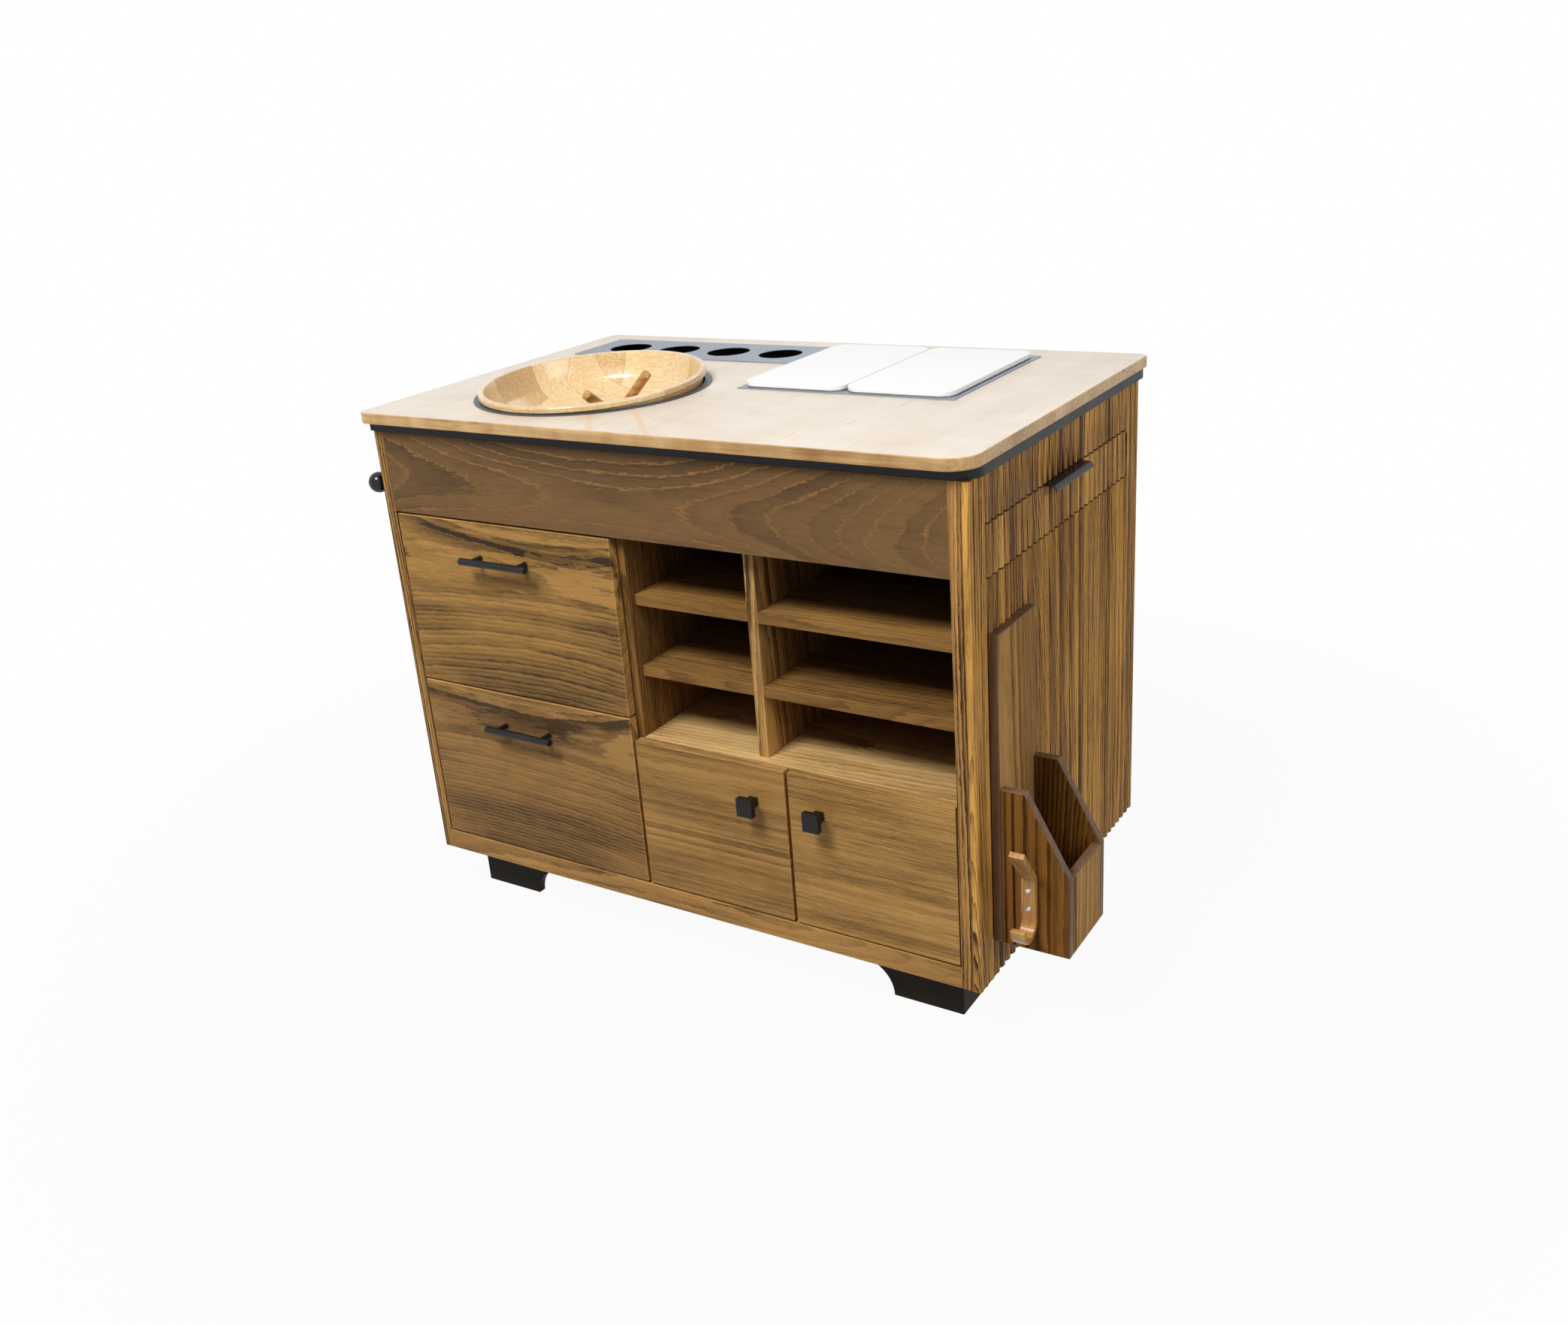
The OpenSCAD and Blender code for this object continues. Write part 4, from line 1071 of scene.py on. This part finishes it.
@dataclass
class Drawers(Assembly):
    """The drawers' fronts, boxes, handles, runners and guides.

    Attributes:
        fine: Rounding of the other pieces' edges, except the runners'.
    """

    edge: float = 0.0014
    fine: float = 0.0008

    def build(self) -> None:
        """Makes the drawers."""
        upper = StainedWood(
            light=screen(186, 140, 76), dark=screen(58, 42, 24), edge_tone=screen(216, 168, 96),
            ring=0.0078, figure=1.15, taper=2.0, bow=30.0, swirl=2.2, streaks=0.4, islands=0.09,
            isles=0.5, contours=0.3,
        )
        lower = StainedWood(
            light=screen(178, 134, 76), dark=screen(76, 54, 31), ring=0.0066, figure=0.9,
            taper=-3.0, bow=30.0, streaks=0.45, islands=0.08, isles=0.35,
        )
        for side, wood, heart in (
            ("upper", upper, (0.02, -0.10, 0.085)),
            ("lower", lower, (-0.05, -0.12, 0.105)),
        ):
            self.board(f"{side}_drawer_front", wood, heart, thin=1)
        ply = PaleVeneer(
            base=screen(214, 184, 140), shade=screen(178, 142, 96), rough=0.5, contrast=1.2,
        )
        box = ply.dress("drawer_box_wood")
        side_box = ply.dress("side_box_wood", Grain.DEEP)
        self.cover(box, "upper_drawer_box", "lower_drawer_box", edge=self.fine)
        self.cover(side_box, "side_drawer_box", edge=self.fine)
        black = SatinPaint(rough=0.36, texture=0.00002, metallic=0.3).dress("handle_black")
        self.cover(black, "upper_handle", "lower_handle", edge=self.fine, angle=60.0)
        zinc = BrushedMetal(colour=screen(176, 178, 180), rough=0.32).dress("runner_zinc")
        self.cover(zinc, "drawer_runners", edge=0.0015)
        self.cover(zinc, "side_drawer_guides", edge=self.fine)


@dataclass
class Doors(Assembly):
    """The two doors with their knobs and hinges."""

    edge: float = 0.0014

    def build(self) -> None:
        """Makes the doors."""
        wood = StainedWood(
            light=screen(200, 152, 86), dark=screen(96, 68, 36), ring=0.0036, figure=0.95,
            taper=2.5, swirl=0.9, patches=0.4, streaks=0.28, pores=0.7,
        )
        paler = replace(wood, light=screen(214, 164, 94), dark=screen(108, 78, 42))
        for side, own, heart in (
            ("left", wood, (0.33, -0.07, 0.52)),
            ("right", paler, (0.4, -0.06, 0.36)),
        ):
            self.board(f"{side}_door", own, heart, thin=1)
        black = SatinPaint(
            colour=screen(22, 21, 19), rough=0.34, texture=0.00002, metallic=0.2, shine=0.3
        ).dress("knob_black")
        self.cover(black, "left_knob", "right_knob", edge=0.0009, segments=3)
        nickel = BrushedMetal(colour=screen(190, 190, 188), rough=0.24).dress("hinge_nickel")
        cups = ("left_hinge_cups", "right_hinge_cups")
        self.cover(nickel, "hinge_arms", *cups, edge=0.0004, angle=50.0)


@dataclass
class BowlSet(Assembly):
    """The turned bowl in its steel ring, with two servers."""

    edge: float = 0.0025

    def build(self) -> None:
        """Makes the bowl, the servers and the ring."""
        middle = tuple(middle_of("bowl"))
        blocks = GluedBlocks(middle=middle).dress("bowl_wood")
        self.cover(blocks, "bowl", edge=0.0015, segments=3, angle=32.0, crease=30.0)
        server = StainedWood(
            light=screen(206, 160, 98), dark=screen(140, 94, 46), edge_tone=screen(206, 160, 98),
            ring=0.004, figure=0.6, rough=0.34, coat=0.3,
        )
        for node, way in (("serving_spoon", Grain.ALONG), ("serving_fork", Grain.DEEP)):
            wood = server.dress(f"{node}_wood", way, near(node, (0.0, 0.02, -0.03)))
            self.cover(wood, node, edge=self.edge, segments=3)
        steel = BrushedMetal(colour=screen(74, 79, 86), rough=0.42, metallic=0.5)
        self.cover(steel.dress("ring_steel"), "bowl_ring", edge=0.0004, angle=50.0)


@dataclass
class Stations(Assembly):
    """The plate with the bottle holes, and the covered pans."""

    edge: float = 0.0003

    def build(self) -> None:
        """Makes the plates, the bottle box, the pans and the lids."""
        metal = BrushedMetal(colour=screen(138, 146, 157), rough=0.48, metallic=0.4)
        steel = metal.dress("plate_steel")
        self.cover(steel, "bottle_plate", "pan_frame", edge=self.edge, angle=50.0)
        inside = SatinPaint(colour=screen(22, 22, 23), rough=0.6).dress("bottle_box_black")
        self.cover(inside, "bottle_box", edge=0.0004)
        bright = BrushedMetal(colour=screen(196, 198, 200), rough=0.26).dress("pan_steel")
        white = MouldedPlastic().dress("lid_white")
        for side in ("left", "right"):
            self.cover(bright, f"{side}_pan", f"{side}_pan_flange", edge=self.edge, angle=50.0)
            self.cover(white, f"{side}_lid", edge=0.0018, segments=4, angle=50.0)


@dataclass
class Rack(Assembly):
    """The rack on the reeded side with its pocket and bent hook.

    Attributes:
        hook_thickness: Thickness of the hook's plate.
        screw_heights: Heights of the hook's screws above the floor.
        screw_head: Radius at the hook, radius at the front and height of a screw's head.
        screw_dent: Width of the rim around the dent in a screw's head, and its depth.
    """

    edge: float = 0.0016
    hook_thickness: float = 0.009
    screw_heights: tuple[float, float] = (0.256, 0.226)
    screw_head: Point = (0.0044, 0.0034, 0.0022)
    screw_dent: tuple[float, float] = (0.0012, 0.0006)

    def build(self) -> None:
        """Makes the rack, the hook and its screws."""
        wood = StainedWood(
            light=screen(206, 158, 96), dark=screen(112, 78, 40), ring=0.0042, figure=0.95,
            taper=3.0, streaks=0.6, rough=0.6, coat=0.0, shine=0.03,
        )
        cheek = StainedWood(
            light=screen(140, 94, 42), dark=screen(54, 32, 10), ring=0.0042, figure=1.0, taper=3.0,
            streaks=0.6, rough=0.55, coat=0.0, shine=0.05,
        )
        rim = StainedWood(
            light=screen(132, 102, 74), dark=screen(80, 58, 40), figure=0.4, patches=0.3, rough=0.4,
            coat=0.06,
        )
        for node, thin in (("rack_back", 0), ("rack_cheeks", 1), ("rack_pocket", 0)):
            pith = near(node, (0.05, -0.05, 0.1))
            faces = (cheek if thin == 1 else wood).dress(f"{node}_wood", Grain.UP, pith)
            edges = rim.dress(f"{node}_edge", Grain.UP, pith)
            sort = looking(thin)
            self.bench.rework(node, [faces, edges], edge=self.edge, segments=3, edge_tone=1, sort=sort)
        honey = StainedWood(
            light=screen(214, 164, 96), dark=screen(150, 98, 44), ring=0.005, figure=0.5, pores=0.2,
            rough=0.26, coat=0.5,
        )
        bent = honey.dress("hook_wood", Grain.UP, near("double_hook", (0.03, -0.04, 0.0)))
        self.cover(bent, "double_hook", edge=0.0012, segments=3, angle=50.0)
        self.screws(middle_of("double_hook").x)

    def screws(self, x: float) -> None:
        """Makes the hook's two screws.

        Args:
            x: The hook's middle along the front.
        """
        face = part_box("rack_cheeks")[0].y - self.hook_thickness
        metal = BrushedMetal(colour=screen(206, 208, 210), rough=0.2).dress("screw_steel")
        mesh = bmesh.new()
        wide, narrow, height = self.screw_head
        rim, depth = self.screw_dent
        for z in self.screw_heights:
            turn = Matrix.Translation((x, face, z)) @ Matrix.Rotation(math.pi / 2, 4, "X")
            made = bmesh.ops.create_cone(
                mesh, cap_ends=True, segments=28, radius1=wide, radius2=narrow, depth=height,
                matrix=turn,
            )
            heads = {part for vert in made["verts"] for part in vert.link_faces}
            front = [part for part in heads if part.normal.y < -0.9]
            bmesh.ops.inset_region(mesh, faces=front, thickness=rim, depth=-depth)
        self.bench.piece("hook_screws", mesh, [metal], "carcass", "zinc_steel")


@dataclass
class PushBar(Assembly):
    """The push bar at the left end."""

    def build(self) -> None:
        """Makes the bar with its balls and posts."""
        gloss = SatinPaint(colour=screen(16, 16, 16), rough=0.2, texture=0.000004, shine=0.4)
        bar = gloss.dress("bar_black")
        self.cover(bar, "push_bar", edge=0.0008, angle=60.0, crease=50.0)


@dataclass
class Undercarriage(Assembly):
    """The bracket feet and the four casters.

    Attributes:
        tyre_from: Radius of a wheel's hub.
    """

    tyre_from: float = 0.0205

    def build(self) -> None:
        """Makes the feet and the casters."""
        foot = SatinPaint(colour=screen(34, 28, 20), rough=0.6, texture=0.00004, shine=0.12)
        self.cover(foot.dress("foot_black"), "bracket_feet", edge=0.0012, angle=40.0)
        zinc = BrushedMetal(colour=screen(170, 172, 176), rough=0.3).dress("caster_zinc")
        self.cover(zinc, "caster_plates", edge=0.0005, angle=50.0)
        hub = MouldedPlastic(colour=screen(70, 71, 73), rough=0.45, coat=0.0).dress("hub_grey")
        rubber = SatinPaint(colour=screen(26, 26, 26), rough=0.7, texture=0.0001)
        tyre = rubber.dress("tyre_rubber")
        for place in ("front_left", "front_right", "back_left", "back_right"):
            self.cover(zinc, f"fork_{place}", edge=0.0004, angle=50.0)
            axle = middle_of(f"wheel_{place}")

            def sort(part: Face, axle: Vector = axle) -> int:
                """Sorts the tyre from the hub."""
                off = part.calc_center_median() - axle
                return 1 if math.hypot(off.x, off.z) > self.tyre_from else 0

            self.bench.rework(f"wheel_{place}", [hub, tyre], sort=sort, crease=35.0)


# ---- the studio


@dataclass(frozen=True)
class Lamp:
    """A soft rectangular lamp.

    Attributes:
        name: Its name.
        place: Where it hangs.
        size: Its width and height.
        power: Its power in watts.
    """

    name: str
    place: Point
    size: tuple[float, float]
    power: float

    def hang(self, target: Vector) -> None:
        """Hangs the lamp so that it points at a target.

        Args:
            target: The point.
        """
        data = bpy.data.lights.new(self.name, "AREA")
        data.shape = "RECTANGLE"
        data.size, data.size_y = self.size
        data.energy = self.power
        lamp = put(self.name, data)
        lamp.location = self.place
        lamp.rotation_euler = (target - Vector(self.place)).to_track_quat("-Z", "Y").to_euler()


@dataclass
class Studio:
    """The floor, the lamps, the world and the camera.

    Attributes:
        width: Width of the picture, in pixels.
        height: Height of the picture, in pixels.
        focal: Focal length, in pixels.
        axis: The pixel that the lens points at.
        place: The camera's place.
        right: The picture's direction to the right.
        down: The picture's downward direction.
        ahead: The direction of view.
        floor_size: Distance of the floor's edges from its middle.
        floor_glow: The share of plain white in the floor near the cart.
        shadow_reach: Distance at which the floor is all white.
        floor_grey: The floor's colour where it isn't white.
        clip: Nearest and farthest distance that the camera sees.
        room_light: Light from all sides.
        target: The point that the lamps point at.
        lamps: The soft lamps.
    """

    width: float = 2087.0
    height: float = 1764.0
    focal: float = 1972.69
    axis: tuple[float, float] = (1031.95, 871.43)
    place: Point = (1.30858, -2.00007, 1.38384)
    right: Point = (0.846879, 0.526791, -0.072709)
    down: Point = (0.139089, -0.351389, -0.925840)
    ahead: Point = (-0.513274, 0.773962, -0.370855)
    floor_size: float = 120.0
    floor_glow: float = 0.95
    shadow_reach: float = 2.4
    floor_grey: Colour = (0.5, 0.5, 0.5)
    clip: tuple[float, float] = (0.05, 400.0)
    room_light: float = 0.18
    target: Point = (0.0, 0.0, 0.5)
    lamps: tuple[Lamp, ...] = (
        Lamp("key_lamp", (-0.35, -2.4, 3.5), (1.2, 1.0), 112.0),
        Lamp("side_lamp", (3.4, -0.9, 2.2), (1.8, 1.8), 38.0),
        Lamp("back_lamp", (-0.6, 2.6, 3.0), (2.4, 1.4), 18.0),
    )

    def camera(self) -> None:
        """Sets up the camera at the photograph's point of view."""
        data = bpy.data.cameras.new("camera")
        data.sensor_fit = "HORIZONTAL"
        data.sensor_width = SENSOR
        data.lens = self.focal / self.width * SENSOR
        data.shift_x = 0.5 - self.axis[0] / self.width
        data.shift_y = (self.axis[1] - self.height / 2) / self.width
        data.clip_start, data.clip_end = self.clip
        camera = put("camera", data)
        up, back = ([-c for c in way] for way in (self.down, self.ahead))
        turn = Matrix((self.right, up, back)).transposed()
        camera.matrix_world = Matrix.Translation(self.place) @ turn.to_4x4()
        bpy.context.scene.camera = camera

    def floor(self) -> None:
        """Lays the floor."""
        graph = Graph("floor_white")
        seen = graph.seen()
        spot = graph.place()
        away = graph.add("ShaderNodeVectorMath", {"operation": "LENGTH"}, {0: spot}, out="Value")
        far = graph.ramp(away / self.shadow_reach, [(0.3, 0.0), (1.0, 1.0)], smooth=True)
        grain = graph.noise(spot, scale=3.0)
        pale = {"Color": self.floor_grey, "Roughness": 0.6}
        plain = graph.add("ShaderNodeBsdfDiffuse", None, pale)
        glow = graph.add("ShaderNodeEmission", None, {"Color": WHITE, "Strength": 1.0})
        share = seen * (self.floor_glow + far * (1.0 - self.floor_glow) + (grain - 0.5) * 0.004)
        graph.end(graph.add("ShaderNodeMixShader", None, {0: share, 1: plain, 2: glow}))
        mesh = bmesh.new()
        bmesh.ops.create_grid(mesh, x_segments=1, y_segments=1, size=self.floor_size)
        data = bpy.data.meshes.new("floor")
        mesh.to_mesh(data)
        mesh.free()
        data.materials.append(graph.owner)
        put("floor", data)

    def world(self) -> None:
        """Lights the room and whitens its background."""
        graph = Graph("room", world=True)
        lit, shown = (
            graph.add("ShaderNodeBackground", None, {"Color": WHITE, "Strength": strength})
            for strength in (self.room_light, 1.0)
        )
        graph.end(graph.add("ShaderNodeMixShader", None, {0: graph.seen(), 1: lit, 2: shown}))
        bpy.context.scene.world = graph.owner

    def build(self) -> None:
        """Sets up the whole studio."""
        self.camera()
        self.floor()
        self.world()
        for lamp in self.lamps:
            lamp.hang(Vector(self.target))
        bpy.context.scene.view_settings.view_transform = "Standard"


def main() -> None:
    """Builds the studio and dresses the whole cart."""
    logging.basicConfig(level=logging.INFO, format="%(name)s: %(message)s")
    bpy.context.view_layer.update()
    Studio().build()
    bench = Workbench(frame)
    kinds = (
        Top, Carcass, ReededSide, Drawers, Doors, BowlSet, Stations, Rack, PushBar, Undercarriage
    )
    for kind in kinds:
        kind(bench).build()
        LOG.info("%s is ready", kind.__name__)


if __name__ == "__main__":
    main()
